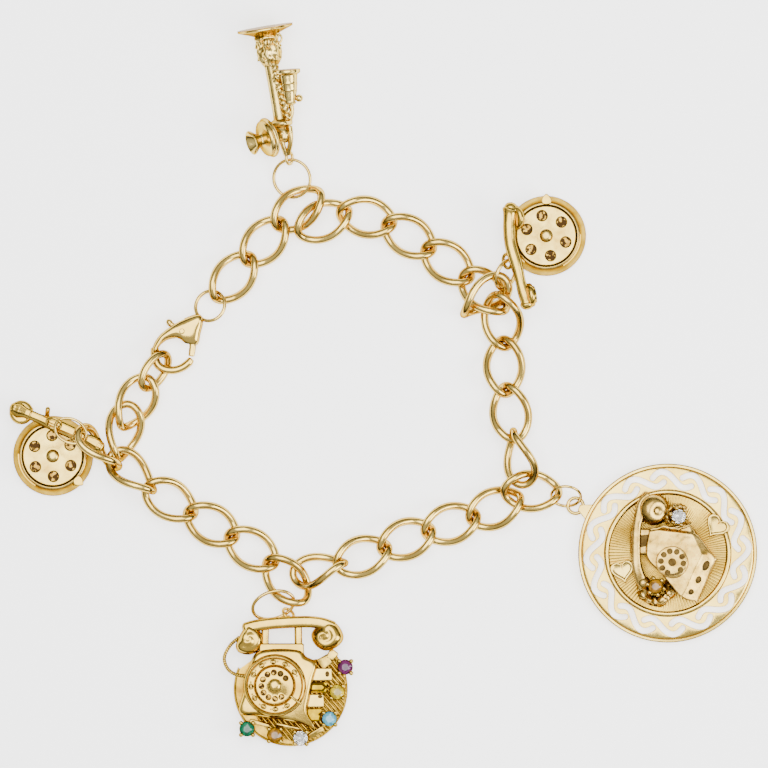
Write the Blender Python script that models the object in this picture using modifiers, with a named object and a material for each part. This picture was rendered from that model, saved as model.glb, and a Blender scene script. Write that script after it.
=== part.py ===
# Charm bracelet in metres, +Z up, lying on the floor at z = 0.
# An open curb chain with a lobster clasp carries five telephone charms.
import math
import bmesh
import bpy
from mathutils import Matrix, Vector

MM = 0.001

# Chain and jump rings
LINK_HALF_LONG = 3.925 * MM
LINK_HALF_SHORT = 2.5 * MM
LINK_WIRE = 1.0 * MM
LINK_TWIST = math.radians(40)
LINK_POINTS = 12
RING_POINTS = 12

# Lobster clasp
CLASP_THICK = 2.2 * MM
CLASP_SLOT = 1.0 * MM
CLASP_Z = 1.4 * MM
HOOK_ROOT_RADIUS = 0.52 * MM
HOOK_RADIUS = 0.43 * MM
TUNNEL_RADIUS = 0.47 * MM
LEVER_THICK = 0.7 * MM
LEVER_HALF_WIDTH = 0.42 * MM
PIVOT_RADIUS = 0.28 * MM
PIVOT_BORE_RADIUS = 0.4 * MM
NUB_RADIUS = 0.5 * MM

# Candlestick telephone, z along its column from the foot
FOOT_RADIUS = 3.95 * MM
FOOT_THICK = 0.55 * MM
COLUMN_RADIUS = 0.9 * MM
COLUMN_TOP = 13.6 * MM
LEAF_RADIUS = 1.65 * MM
LEAF_TOP = 5.2 * MM
COLLAR_RADIUS = 1.55 * MM
YOKE_TOP = 16.6 * MM
MOUTH_RADIUS = 2.85 * MM
HORN_RADIUS = 1.75 * MM
RECEIVER_RADIUS = 1.6 * MM
RECEIVER_NECK = 0.62 * MM
RECEIVER_LENGTH = 5.1 * MM
STAND_TILT = math.radians(4.5)
STAND_TURN = math.radians(9.4)

# Round desk telephones
DRUM_RADIUS = 5.7 * MM
DRUM_FACE_RADIUS = 4.75 * MM
DRUM_HEIGHT = 2.7 * MM
DIAL_RADIUS = 4.2 * MM
DIAL_THICK = 0.55 * MM
DIAL_GAP = 0.2 * MM
DIAL_HOLE_RADIUS = 0.78 * MM
DIAL_HOLE_CIRCLE = 2.9 * MM
DIAL_HUB_RADIUS = 0.75 * MM
DIAL_PIN_RADIUS = 0.45 * MM
DIAL_PIN_DEPTH = 1.1 * MM

# Disc charm
DISC_RADIUS = 12.7 * MM
DISC_THICK = 1.2 * MM
WAVE_COUNT = 16
WAVE_WIDTH = 0.85 * MM
WAVE_OUTER = 11.55 * MM
WAVE_INNER = 9.55 * MM
INNER_RING_RADIUS = 8.66 * MM
INNER_RING_WIRE = 0.75 * MM
RELIEF_HEIGHT = 2.6 * MM
DISC_DIAL_RADIUS = 2.27 * MM

# Desk telephone charm
PLATE_RADIUS = 8.1 * MM
PLATE_THICK = 1.5 * MM
BODY_TOP = 3.9 * MM
SETTING_RADIUS = 1.08 * MM
PRONG_RADIUS = 0.18 * MM
DESK_DIAL_RING = 4.26 * MM
WHEEL_RADIUS = 2.66 * MM
WHEEL_HOLES = 10
WHEEL_HOLE_RADIUS = 0.4 * MM
WHEEL_HOLE_CIRCLE = 1.87 * MM
WHEEL_HUB_RADIUS = 0.95 * MM

# Stones
STONE_RADIUS = 1.0 * MM
STONE_GAP = 0.13 * MM

# Chosen places of the curb links along the chain:
# x mm, y mm, z mm, heading, pitch and roll in degrees
LINK_ROUTE = [
    (-21.42, 15.15, 1.40, 50, 0, 0),
    (-17.06, 20.18, 1.49, 48, 1, 0),
    (-12.30, 24.85, 1.65, 37, -1, -5),
    (-8.70, 23.18, 1.86, 25, -7, -6),
    (-2.53, 23.68, 1.51, -13, -3, 1),
    (3.46, 20.95, 1.50, -32, -2, 0),
    (8.98, 17.21, 1.46, -36, 0, -4),
    (14.20, 13.09, 1.68, -42, 2, -15),
    (14.24, 12.35, 2.81, 40, 11, 44),
    (16.72, 8.97, 2.11, -78, -16, 4),
    (16.97, 2.47, 1.61, -88, 5, 0),
    (17.84, -4.10, 2.10, -79, 6, 8),
    (19.07, -10.50, 2.48, -78, -8, 51),
    (20.81, -15.19, 1.67, 178, 5, 3),
    (15.68, -17.62, 1.50, 204, -2, 8),
    (9.40, -19.84, 1.51, 198, 1, 2),
    (3.09, -22.02, 1.73, 201, 4, 1),
    (-3.14, -24.40, 2.30, 201, 6, 8),
    (-9.33, -26.30, 2.29, 194, -18, 48),
    (-13.92, -27.82, 1.81, 132, -1, -3),
    (-18.85, -23.43, 1.56, 147, 0, 1),
    (-24.54, -19.92, 1.61, 150, 2, -1),
    (-30.33, -16.48, 2.09, 150, 7, 12),
    (-35.70, -12.51, 2.49, 138, -4, 43),
    (-40.56, -9.20, 3.43, 135, 19, 76),
    (-36.96, -6.73, 2.18, 80, 0, 32),
    (-35.32, -2.63, 2.02, 62, 2, 21),
]

# Plain rings: name, x mm, y mm, z mm, heading, pitch, roll, half length mm, half width mm, wire mm
RING_ROUTE = [
    ("link_28", -32.57, 1.84, 1.81, 54, -12, 45, 2.85, 1.85, 1.0),
    ("ring_clasp", -24.74, 11.09, 1.38, 50, 1, -25, 2.2, 2.2, 0.5),
    ("ring_candlestick", -13.14, 29.15, 1.12, 3, 17, 8, 2.7, 2.7, 0.45),
    ("ring_round_right", 17.19, 15.53, 3.14, 75, 12, 53, 2.1, 2.1, 0.6),
    ("ring_disc", 25.74, -15.92, 1.70, 6, 11, 47, 2.1, 2.1, 0.42),
    ("ring_desk", -15.77, -31.35, 1.85, 17, -1, 25, 3.0, 2.1, 0.5),
    ("ring_round_left", -44.44, -6.63, 4.89, -24, -1, 10, 2.3, 1.7, 0.42),
]

# Bails that the rings run through: x mm, y mm, z mm, heading, pitch, roll, half length, half width, wire
BAIL_PLACES = {
    "candlestick": (-13.50, 32.06, 1.50, 90, 0, 60, 0.85, 0.85, 0.45),
    "round_right": (17.40, 17.40, 3.90, -80, 0, 45, 1.0, 0.8, 0.5),
    "round_left": (-46.82, -5.58, 4.95, -23, 0, 45, 1.05, 1.0, 0.42),
    "disc": (27.11, -17.27, 0.65, 0, 0, 0, 1.1, 1.1, 0.5),
    "desk": (-13.63, -32.59, 1.20, 138, 0, 56, 0.9, 0.9, 0.45),
}

STONE_COLOURS = {
    "clear": (0.93, 0.95, 0.97),
    "orange": (0.85, 0.30, 0.08),
    "purple": (0.36, 0.16, 0.50),
    "yellow": (0.85, 0.72, 0.16),
    "blue": (0.42, 0.68, 0.85),
    "green": (0.30, 0.58, 0.22),
}

for old in list(bpy.data.objects):
    bpy.data.objects.remove(old, do_unlink=True)

scene = bpy.context.scene
cutters = bpy.data.collections.new("cutters")
scene.collection.children.link(cutters)
cutters.hide_render = True

root = bpy.data.objects.new("bracelet_root", None)
scene.collection.objects.link(root)


def material(name, colour, metallic, roughness):
    made = bpy.data.materials.new(name)
    made.use_nodes = True
    shader = made.node_tree.nodes["Principled BSDF"]
    shader.inputs["Base Color"].default_value = (colour[0], colour[1], colour[2], 1)
    shader.inputs["Metallic"].default_value = metallic
    shader.inputs["Roughness"].default_value = roughness
    return made


def gold(name):
    return material(name, (0.93, 0.70, 0.38), 1.0, 0.2)


def empty(name, location, rotation=(0, 0, 0), parent=None):
    made = bpy.data.objects.new(name, None)
    made.location = location
    made.rotation_euler = rotation
    made.parent = parent or root
    scene.collection.objects.link(made)
    return made


def finish(part, parent, surface=None, smooth=True):
    part.parent = parent
    if surface:
        part.data.materials.clear()
        part.data.materials.append(surface)
    if part.type == "MESH" and smooth:
        part.data.shade_smooth()
    return part


def wire_curve(name, points, radius, sides=1, closed=False, radii=None):
    # A round wire along a list of points, in the frame of its parent
    data = bpy.data.curves.new(name, "CURVE")
    data.dimensions = "3D"
    data.bevel_depth = radius
    data.bevel_resolution = sides
    data.use_fill_caps = not closed
    line = data.splines.new("POLY")
    line.points.add(len(points) - 1)
    for number, point in enumerate(points):
        line.points[number].co = (point[0], point[1], point[2], 1)
        if radii:
            line.points[number].radius = radii[number] / radius
    line.use_cyclic_u = closed
    made = bpy.data.objects.new(name, data)
    scene.collection.objects.link(made)
    return made


def slab_curve(name, outlines, low, high, bevel=0.0):
    # Flat plates with closed outlines between two heights
    data = bpy.data.curves.new(name, "CURVE")
    data.dimensions = "2D"
    data.fill_mode = "BOTH"
    data.extrude = (high - low) / 2 - bevel
    data.bevel_depth = bevel
    data.bevel_resolution = 0
    data.offset = -bevel
    for outline in outlines:
        line = data.splines.new("POLY")
        line.points.add(len(outline) - 1)
        for number, point in enumerate(outline):
            line.points[number].co = (point[0], point[1], 0, 1)
        line.use_cyclic_u = True
    made = bpy.data.objects.new(name, data)
    made.location.z = (low + high) / 2
    scene.collection.objects.link(made)
    return made


def turned(name, profile, steps):
    # A profile of radius and height turned about Z
    data = bpy.data.meshes.new(name)
    corners = [(point[0], 0, point[1]) for point in profile]
    data.from_pydata(corners, [(n, n + 1) for n in range(len(corners) - 1)], [])
    made = bpy.data.objects.new(name, data)
    scene.collection.objects.link(made)
    screw = made.modifiers.new("turn", "SCREW")
    screw.axis = "Z"
    screw.angle = 2 * math.pi
    screw.steps = steps
    screw.render_steps = steps
    screw.use_merge_vertices = True
    screw.merge_threshold = 1e-6
    screw.use_normal_calculate = True
    return made


def solid(source):
    # The evaluated shape as a welded mesh object of the same name and place
    bpy.context.view_layer.update()
    graph = bpy.context.evaluated_depsgraph_get()
    place = source.matrix_world.copy()
    name = source.name
    mesh = bpy.data.meshes.new_from_object(source.evaluated_get(graph), depsgraph=graph)
    bpy.data.objects.remove(source, do_unlink=True)
    work = bmesh.new()
    work.from_mesh(mesh)
    bmesh.ops.remove_doubles(work, verts=work.verts, dist=1e-7)
    bmesh.ops.recalc_face_normals(work, faces=work.faces)
    work.to_mesh(mesh)
    work.free()
    mesh.transform(place)
    mesh.name = name
    made = bpy.data.objects.new(name, mesh)
    scene.collection.objects.link(made)
    return made


def boolean(target, tool, operation):
    # The tool keeps its place in the target's frame and is hidden in the cutters
    tool = solid(tool)
    tool.parent = target
    scene.collection.objects.unlink(tool)
    cutters.objects.link(tool)
    tool.display_type = "WIRE"
    tool.hide_render = True
    change = target.modifiers.new(tool.name, "BOOLEAN")
    change.operation = operation
    change.solver = "EXACT"
    change.object = tool
    return target


def fuse(target, *others):
    for other in others:
        boolean(target, other, "UNION")
    return target


def cut(target, *others):
    for other in others:
        boolean(target, other, "DIFFERENCE")
    return target


def moved(part, location=(0, 0, 0), rotation=(0, 0, 0)):
    part.location = Vector(location) + part.location
    part.rotation_euler = rotation
    return part


def circle(radius, count, centre=(0, 0), start=0.0):
    turns = [start + 2 * math.pi * n / count for n in range(count)]
    return [(centre[0] + radius * math.cos(t), centre[1] + radius * math.sin(t)) for t in turns]


def link_turn(heading, pitch, roll):
    around = Matrix.Rotation(math.radians(heading), 4, "Z")
    across = Matrix.Rotation(math.radians(-pitch), 4, "Y")
    along = Matrix.Rotation(math.radians(roll), 4, "X")
    return (around @ across @ along).to_euler()


def curb_points():
    points = []
    for n in range(LINK_POINTS):
        t = 2 * math.pi * n / LINK_POINTS
        twist = -LINK_TWIST * math.cos(t)
        side = LINK_HALF_SHORT * math.sin(t)
        points.append((LINK_HALF_LONG * math.cos(t), side * math.cos(twist), side * math.sin(twist)))
    return points


def ring_points(half_long, half_short, count):
    turns = [2 * math.pi * n / count for n in range(count)]
    return [(half_long * math.cos(t), half_short * math.sin(t), 0) for t in turns]


def make_chain():
    surface = gold("chain_gold")
    shape = curb_points()
    for number, (x, y, z, heading, pitch, roll) in enumerate(LINK_ROUTE, 1):
        link = wire_curve("link_%02d" % number, shape, LINK_WIRE / 2, closed=True)
        link.location = (x * MM, y * MM, z * MM)
        link.rotation_euler = link_turn(heading, pitch, roll)
        finish(link, root, surface)
    for name, x, y, z, heading, pitch, roll, half_long, half_short, wire in RING_ROUTE:
        points = ring_points(half_long * MM, half_short * MM, RING_POINTS)
        ring = wire_curve(name, points, wire * MM / 2, closed=True)
        ring.location = (x * MM, y * MM, z * MM)
        ring.rotation_euler = link_turn(heading, pitch, roll)
        finish(ring, root, surface)


def ring_row(name):
    return next(row for row in RING_ROUTE if row[0] == name)


def make_clasp():
    # Its frame has the hook's centre as origin
    surface = gold("clasp_gold")
    frame = empty("clasp_frame", (-30.18 * MM, 4.12 * MM, CLASP_Z))
    outline = [
        (3.27, 5.75), (1.14, 4.90), (-0.57, 3.83), (-1.70, 2.84), (-2.49, 1.70), (-2.86, 0.30),
        (-1.98, 0.30), (-1.85, 0.99), (-1.42, 1.56), (-0.57, 2.13), (0.43, 2.34), (1.28, 2.06),
        (2.10, 1.38), (3.72, 1.38), (4.12, 3.12), (4.54, 4.97), (4.30, 5.75),
    ]
    outline = [(x * MM, y * MM) for x, y in reversed(outline)]
    body = solid(slab_curve("clasp_body", [outline], -CLASP_THICK / 2, CLASP_THICK / 2, 0.3 * MM))
    hook_line = [
        (-2.38, 0.95), (-2.42, 0.2), (-2.33, -0.6), (-2.0, -1.35), (-1.35, -1.9),
        (-0.43, -2.14), (0.6, -2.1), (1.6, -1.72), (2.45, -1.05),
    ]
    hook_line = [(x * MM, y * MM, 0) for x, y in hook_line]
    sizes = [HOOK_ROOT_RADIUS] * 2 + [HOOK_RADIUS] * 7
    hook = wire_curve("hook", hook_line, HOOK_RADIUS, sides=2, radii=sizes)
    fuse(body, hook)
    pivot = (1.45 * MM, 3.35 * MM)
    pocket = [
        (3.45, 0.6), (3.45, 2.6), (2.75, 4.2), (1.95, 4.95), (1.3, 5.7), (-0.55, 6.0), (-1.9, 4.8),
        (-1.75, 3.3), (-0.1, 2.8), (0.7, 2.2), (0.7, 0.6),
    ]
    pocket = [(x * MM, y * MM) for x, y in reversed(pocket)]
    slot = slab_curve("slot", [pocket], -CLASP_SLOT / 2, CLASP_SLOT / 2)
    bore = moved(
        turned("bore", [(0, CLASP_THICK), (PIVOT_BORE_RADIUS, CLASP_THICK),
                        (PIVOT_BORE_RADIUS, -CLASP_THICK), (0, -CLASP_THICK)], 12),
        (pivot[0], pivot[1], 0))
    row = ring_row("ring_clasp")
    ring_place = Vector((row[1] * MM, row[2] * MM, row[3] * MM)) - frame.location
    turn = link_turn(row[4], row[5], row[6]).to_matrix()
    through = math.radians(177)
    spot = Vector((math.cos(through), math.sin(through), 0)) * row[7] * MM
    spot = ring_place + turn @ spot
    way = turn @ Vector((-math.sin(through), math.cos(through), 0))
    reach = 2 * MM
    tunnel = turned("tunnel", [(0, reach), (TUNNEL_RADIUS, reach), (TUNNEL_RADIUS, -reach), (0, -reach)], 12)
    tunnel = moved(tunnel, spot, way.to_track_quat("Z", "Y").to_euler())
    cut(body, slot, bore, tunnel)
    finish(body, frame, surface)
    # The lever turns on its own pin in the body's two cheeks
    hinge = empty("lever_hinge", (pivot[0], pivot[1], 0), parent=frame)
    arm_line = [(-1.6, 1.05), (-0.2, 0.1), (0.35, 0.0), (1.1, -0.75), (1.5, -1.9), (1.35, -3.45)]
    wide = LEVER_HALF_WIDTH
    left = []
    right = []
    for n, point in enumerate(arm_line):
        before = Vector(arm_line[max(n - 1, 0)])
        after = Vector(arm_line[min(n + 1, len(arm_line) - 1)])
        across = (after - before).orthogonal().normalized() * wide
        left.append((point[0] * MM + across.x, point[1] * MM + across.y))
        right.append((point[0] * MM - across.x, point[1] * MM - across.y))
    lever = solid(slab_curve("clasp_lever", [left + right[::-1]], -LEVER_THICK / 2, LEVER_THICK / 2))
    pin_half = CLASP_THICK / 2 - 0.1 * MM
    pin = turned("pin", [(0, pin_half), (PIVOT_RADIUS, pin_half), (PIVOT_RADIUS, -pin_half),
                         (0, -pin_half)], 10)
    nub = turned("nub", [(0, NUB_RADIUS), (NUB_RADIUS * 0.8, NUB_RADIUS * 0.6), (NUB_RADIUS, 0),
                         (NUB_RADIUS * 0.8, -NUB_RADIUS * 0.6), (0, -NUB_RADIUS)], 8)
    nub = moved(nub, (-1.75 * MM, 1.2 * MM, 0))
    fuse(lever, pin, nub)
    finish(lever, hinge, gold("lever_gold"))


def make_bail(frame, name):
    # The bail keeps its place in the bracelet, written in the charm's own frame
    bpy.context.view_layer.update()
    x, y, z, heading, pitch, roll, half_long, half_short, wire = BAIL_PLACES[name]
    ring = wire_curve("bail", ring_points(half_long * MM, half_short * MM, 12), wire * MM / 2, closed=True)
    place = Matrix.Translation((x * MM, y * MM, z * MM)) @ link_turn(heading, pitch, roll).to_matrix().to_4x4()
    ring.matrix_world = frame.matrix_world.inverted() @ place
    return ring


def rod(points, radius, sides=1):
    return wire_curve("rod", [(x * MM, y * MM, z * MM) for x, y, z in points], radius * MM, sides)


def block(corners, low, high, bevel=0.0):
    return slab_curve("block", [[(x * MM, y * MM) for x, y in corners]], low * MM, high * MM, bevel * MM)


def make_setting(parent, name, colour, place, base):
    # A cone cup and four prongs for the parent solid, and its stone as a piece of its own
    top = place[2]
    cup = turned("cup", [
        (0, top - 0.95 * MM), (0.35 * MM, top - 0.85 * MM), (SETTING_RADIUS - 0.1 * MM, top - 0.2 * MM),
        (SETTING_RADIUS, top - 0.25 * MM), (SETTING_RADIUS, top - 0.5 * MM), (SETTING_RADIUS * 0.65, base), (0, base),
    ], 7)
    pieces = [moved(cup, (place[0], place[1], 0))]
    reach = STONE_RADIUS + STONE_GAP + PRONG_RADIUS
    for x, y in circle(reach, 4, (place[0], place[1]), math.pi / 4):
        inward = Vector((place[0] - x, place[1] - y, 0)).normalized() * 0.32 * MM
        foot = (x + inward.x, y + inward.y, top - 0.75 * MM)
        pieces.append(wire_curve("prong", [foot, (x - inward.x / 4, y - inward.y / 4, top + 0.25 * MM)], PRONG_RADIUS, 0))
    girdle = STONE_RADIUS
    stone = turned(name, [
        (0, 0.34 * girdle), (0.58 * girdle, 0.34 * girdle), (girdle, 0.04 * girdle), (girdle, -0.03 * girdle),
        (0, -0.72 * girdle)], 8)
    stone.location = place
    finish(stone, parent, material(name + "_glass", STONE_COLOURS[colour], 0.0, 0.02), smooth=False)
    return pieces


def make_candlestick():
    # z runs up its column, which points down the picture as it lies
    frame = empty("candlestick_frame", (-16.96 * MM, 50.56 * MM, FOOT_RADIUS * math.cos(STAND_TILT)),
                  (math.pi / 2 + STAND_TILT, 0, STAND_TURN))
    stand = solid(turned("candlestick", [
        (0, YOKE_TOP), (1.0 * MM, YOKE_TOP), (1.45 * MM, YOKE_TOP - 0.5 * MM),
        (1.3 * MM, COLUMN_TOP + 1.2 * MM), (COLLAR_RADIUS, COLUMN_TOP + 0.5 * MM),
        (COLLAR_RADIUS, COLUMN_TOP), (COLUMN_RADIUS, COLUMN_TOP - 0.2 * MM),
        (COLUMN_RADIUS * 1.1, LEAF_TOP + 0.3 * MM), (LEAF_RADIUS * 0.85, LEAF_TOP),
        (LEAF_RADIUS, LEAF_TOP * 0.6), (LEAF_RADIUS * 0.8, LEAF_TOP * 0.35),
        (LEAF_RADIUS * 1.15, 1.2 * MM), (FOOT_RADIUS - 0.3 * MM, FOOT_THICK), (FOOT_RADIUS, FOOT_THICK * 0.6),
        (FOOT_RADIUS, FOOT_THICK * 0.2), (FOOT_RADIUS - 0.2 * MM, 0), (0, 0),
    ], 14))
    mouth = turned("mouth", [
        (0, 3.2 * MM), (0.7 * MM, 3.2 * MM), (HORN_RADIUS, 4.0 * MM), (HORN_RADIUS, 3.75 * MM),
        (0.8 * MM, 2.6 * MM), (1.3 * MM, 2.1 * MM), (MOUTH_RADIUS * 0.93, 1.75 * MM),
        (MOUTH_RADIUS, 1.45 * MM), (MOUTH_RADIUS * 0.93, 1.2 * MM), (0.9 * MM, 0.9 * MM),
        (0.8 * MM, -0.2 * MM), (0, -0.2 * MM),
    ], 12)
    mouth = moved(mouth, (-0.95 * MM, 0, 15.4 * MM), (0, math.radians(-84), math.radians(-24)))
    cord_line = []
    for n in range(9):
        along = n / 8
        swing = 4 * math.pi * along
        cord_line.append((0.75 + 0.75 * along + 0.1 * math.cos(swing), 0.75 + 0.1 * math.sin(swing),
                          4.4 + 9.5 * along))
    pieces = [mouth, rod(cord_line, 0.3)]
    receiver = turned("receiver", [
        (0, RECEIVER_LENGTH), (RECEIVER_NECK, RECEIVER_LENGTH), (RECEIVER_NECK * 1.25, RECEIVER_LENGTH - 0.4 * MM),
        (RECEIVER_NECK, RECEIVER_LENGTH - 0.9 * MM), (RECEIVER_NECK * 1.25, RECEIVER_LENGTH * 0.45),
        (RECEIVER_RADIUS * 0.72, 1.3 * MM), (RECEIVER_RADIUS * 0.9, 0.8 * MM), (RECEIVER_RADIUS, 0.6 * MM),
        (RECEIVER_RADIUS, 0.2 * MM), (RECEIVER_RADIUS * 0.85, 0), (0, 0),
    ], 12)
    pieces.append(moved(receiver, (2.3 * MM, 0.5 * MM, 6.4 * MM), (0, math.radians(-5), 0)))
    pieces.append(rod([(2.9, 0.6, 10.6), (1.8, 0.6, 10.7)], 0.38, sides=2))
    pieces.append(rod([(1.85, 0.5, 11.0), (1.8, 0.3, 12.4), (1.2, 0.1, 13.9)], 0.42))
    pieces.append(rod([(0, 0, 16.2), (0.0, -0.5, 17.2), (-0.15, -1.0, 18.15)], 0.36))
    pieces.append(make_bail(frame, "candlestick"))
    for n in range(5):
        turn = 2 * math.pi * n / 5
        leaf = turned("leaf", [(0, 0.75 * MM), (0.5 * MM, 0.35 * MM), (0.62 * MM, -0.3 * MM), (0, -0.9 * MM)], 5)
        place = (LEAF_RADIUS * math.cos(turn), LEAF_RADIUS * math.sin(turn), (2.4 + 0.9 * (n % 2)) * MM)
        pieces.append(moved(leaf, place, (0.3, 0.2, turn)))
    fuse(stand, *pieces)
    finish(stand, frame, gold("candlestick_gold"))


def make_dial(name, hub_frame, radius, thick, holes, hole_radius, hole_circle, hub_radius, start, surface):
    # A finger wheel with its round hub and the pin that it turns on
    dial = solid(turned(name, [
        (0, thick + 0.42 * MM), (hub_radius * 0.55, thick + 0.34 * MM), (hub_radius, thick),
        (radius - 0.1 * MM, thick), (radius, thick - 0.1 * MM), (radius, 0),
        (DIAL_PIN_RADIUS, 0), (DIAL_PIN_RADIUS, -DIAL_PIN_DEPTH), (0, -DIAL_PIN_DEPTH),
    ], 18))
    outlines = [circle(hole_radius, 6 if holes > 6 else 10, spot) for spot in circle(hole_circle, holes, start=start)]
    cut(dial, slab_curve("holes", outlines, -0.3 * MM, thick + 0.3 * MM))
    finish(dial, hub_frame, surface)


def make_round_phone(side, place, heading, dial_turn, stop_turn, bar, radii, cups, prongs):
    # Its x axis runs along the handset and its y axis points to the handset
    frame = empty("round_%s_frame" % side, place, (0, 0, math.radians(heading)))
    floor = DRUM_HEIGHT - DIAL_THICK - DIAL_GAP
    bore = DIAL_PIN_RADIUS + 0.15 * MM
    wall = DIAL_RADIUS + DIAL_GAP
    bore_floor = floor - DIAL_PIN_DEPTH - DIAL_GAP
    phone = solid(turned("round_%s_phone" % side, [
        (0, bore_floor), (bore, bore_floor), (bore, floor),
        (wall, floor), (wall, DRUM_HEIGHT), (DRUM_FACE_RADIUS, DRUM_HEIGHT - 0.1 * MM),
        (DRUM_FACE_RADIUS + 0.35 * MM, DRUM_HEIGHT * 0.62), (DRUM_RADIUS, 0.7 * MM),
        (DRUM_RADIUS - 0.1 * MM, 0.15 * MM), (DRUM_RADIUS - 0.3 * MM, 0), (0, 0),
    ], 20))
    stop = block([(4.45, -0.5), (5.2, -0.7), (6.0, 0.05), (5.2, 0.6), (4.45, 0.45)],
                 DRUM_HEIGHT / MM - 0.6, DRUM_HEIGHT / MM + 0.25)
    pieces = [moved(stop, rotation=(0, 0, math.radians(stop_turn)))]
    grip = wire_curve("grip", [(x * MM, y * MM, z * MM) for x, y, z in bar], 0.7 * MM, sides=1,
                      radii=[r * MM for r in radii])
    pieces.append(grip)
    for spot, tip, radius, depth in cups:
        cup = turned("cup", [
            (0, depth * MM), (radius * 0.8 * MM, depth * MM), (radius * MM, depth * 0.75 * MM),
            (radius * MM, depth * 0.3 * MM), (radius * 0.7 * MM, 0), (0, 0)], 12)
        pieces.append(moved(cup, [value * MM for value in spot], (math.radians(tip), 0, 0)))
    pieces += [rod(line, 0.36) for line in prongs]
    pieces.append(make_bail(frame, "round_%s" % side))
    fuse(phone, *pieces)
    finish(phone, frame, gold("round_%s_gold" % side))
    hub = empty("round_%s_hub" % side, (0, 0, floor + DIAL_GAP), parent=frame)
    make_dial("round_%s_dial" % side, hub, DIAL_RADIUS, DIAL_THICK, 6, DIAL_HOLE_RADIUS, DIAL_HOLE_CIRCLE,
              DIAL_HUB_RADIUS, math.radians(dial_turn), gold("round_%s_dial_gold" % side))


def make_round_phones():
    make_round_phone(
        "right", (22.93 * MM, 21.02 * MM, 0), 100, 2, -10,
        [(4.7, 4.3, 4.95), (3.97, 4.56, 4.95), (1.8, 5.0, 4.95), (-0.37, 5.2, 4.95), (-3.33, 4.9, 4.95),
         (-6.24, 4.7, 4.8), (-8.45, 4.44, 4.6), (-9.1, 4.4, 4.55)],
        [0.75, 0.9, 0.8, 0.72, 0.72, 0.7, 0.72, 0.6],
        [((3.2, 4.1, 5.05), 100, 1.7, 1.2), ((-7.9, 4.2, 4.4), 100, 1.7, 1.2)],
        [[(-2.0, 4.4, 1.8), (-2.0, 4.9, 4.7)], [(2.0, 4.4, 1.8), (2.0, 4.9, 4.7)]])
    make_round_phone(
        "left", (-47.03 * MM, -10.20 * MM, 0), -23, 55, -21,
        [(-7.6, 4.1, 3.6), (-6.4, 4.15, 3.6), (-5.0, 4.15, 3.6), (-2.5, 4.15, 3.6), (0.5, 4.15, 3.6),
         (3.0, 4.1, 3.6), (4.6, 4.0, 3.45), (5.7, 3.85, 3.3)],
        [0.9, 1.05, 0.8, 0.72, 0.75, 0.8, 0.85, 0.95],
        [((-6.5, 4.05, 3.4), 168, 1.7, 1.3)],
        [[(-2.0, 4.3, 1.8), (-2.0, 4.2, 3.5)], [(2.0, 4.3, 1.8), (2.0, 4.2, 3.5)],
         [(-2.7, 4.2, 1.8), (-3.0, 5.1, 3.0), (-3.2, 5.9, 4.3)]])


def wave_outlines():
    # S-shaped slots that overlap each other a little around the rim
    middle = (WAVE_OUTER + WAVE_INNER) / 2
    height = (WAVE_OUTER - WAVE_INNER) / 2
    sweep = math.radians(28.5)
    outlines = []
    for slot in range(WAVE_COUNT):
        start = math.radians(99.7) - 2 * math.pi * slot / WAVE_COUNT
        line = []
        for n in range(6):
            stage = n / 5
            radius = middle + height * math.cos(math.pi * (1.5 * stage - 0.25))
            turn = start - sweep * stage
            line.append(Vector((radius * math.cos(turn), radius * math.sin(turn))))
        sides = [[], []]
        for n, point in enumerate(line):
            along = line[min(n + 1, 5)] - line[max(n - 1, 0)]
            across = along.orthogonal().normalized() * WAVE_WIDTH / 2
            sides[0].append(tuple(point + across))
            sides[1].append(tuple(point - across))
        outlines.append(sides[0] + sides[1][::-1])
    return outlines


def heart(width, centre, turn):
    outline = []
    for n in range(12):
        t = 2 * math.pi * n / 12
        x = math.sin(t) ** 3
        y = (13 * math.cos(t) - 5 * math.cos(2 * t) - 2 * math.cos(3 * t) - math.cos(4 * t)) / 16
        spun = Matrix.Rotation(turn, 2) @ Vector((x, y)) * width / 2
        outline.append((centre[0] + spun.x, centre[1] + spun.y))
    return outline


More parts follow.
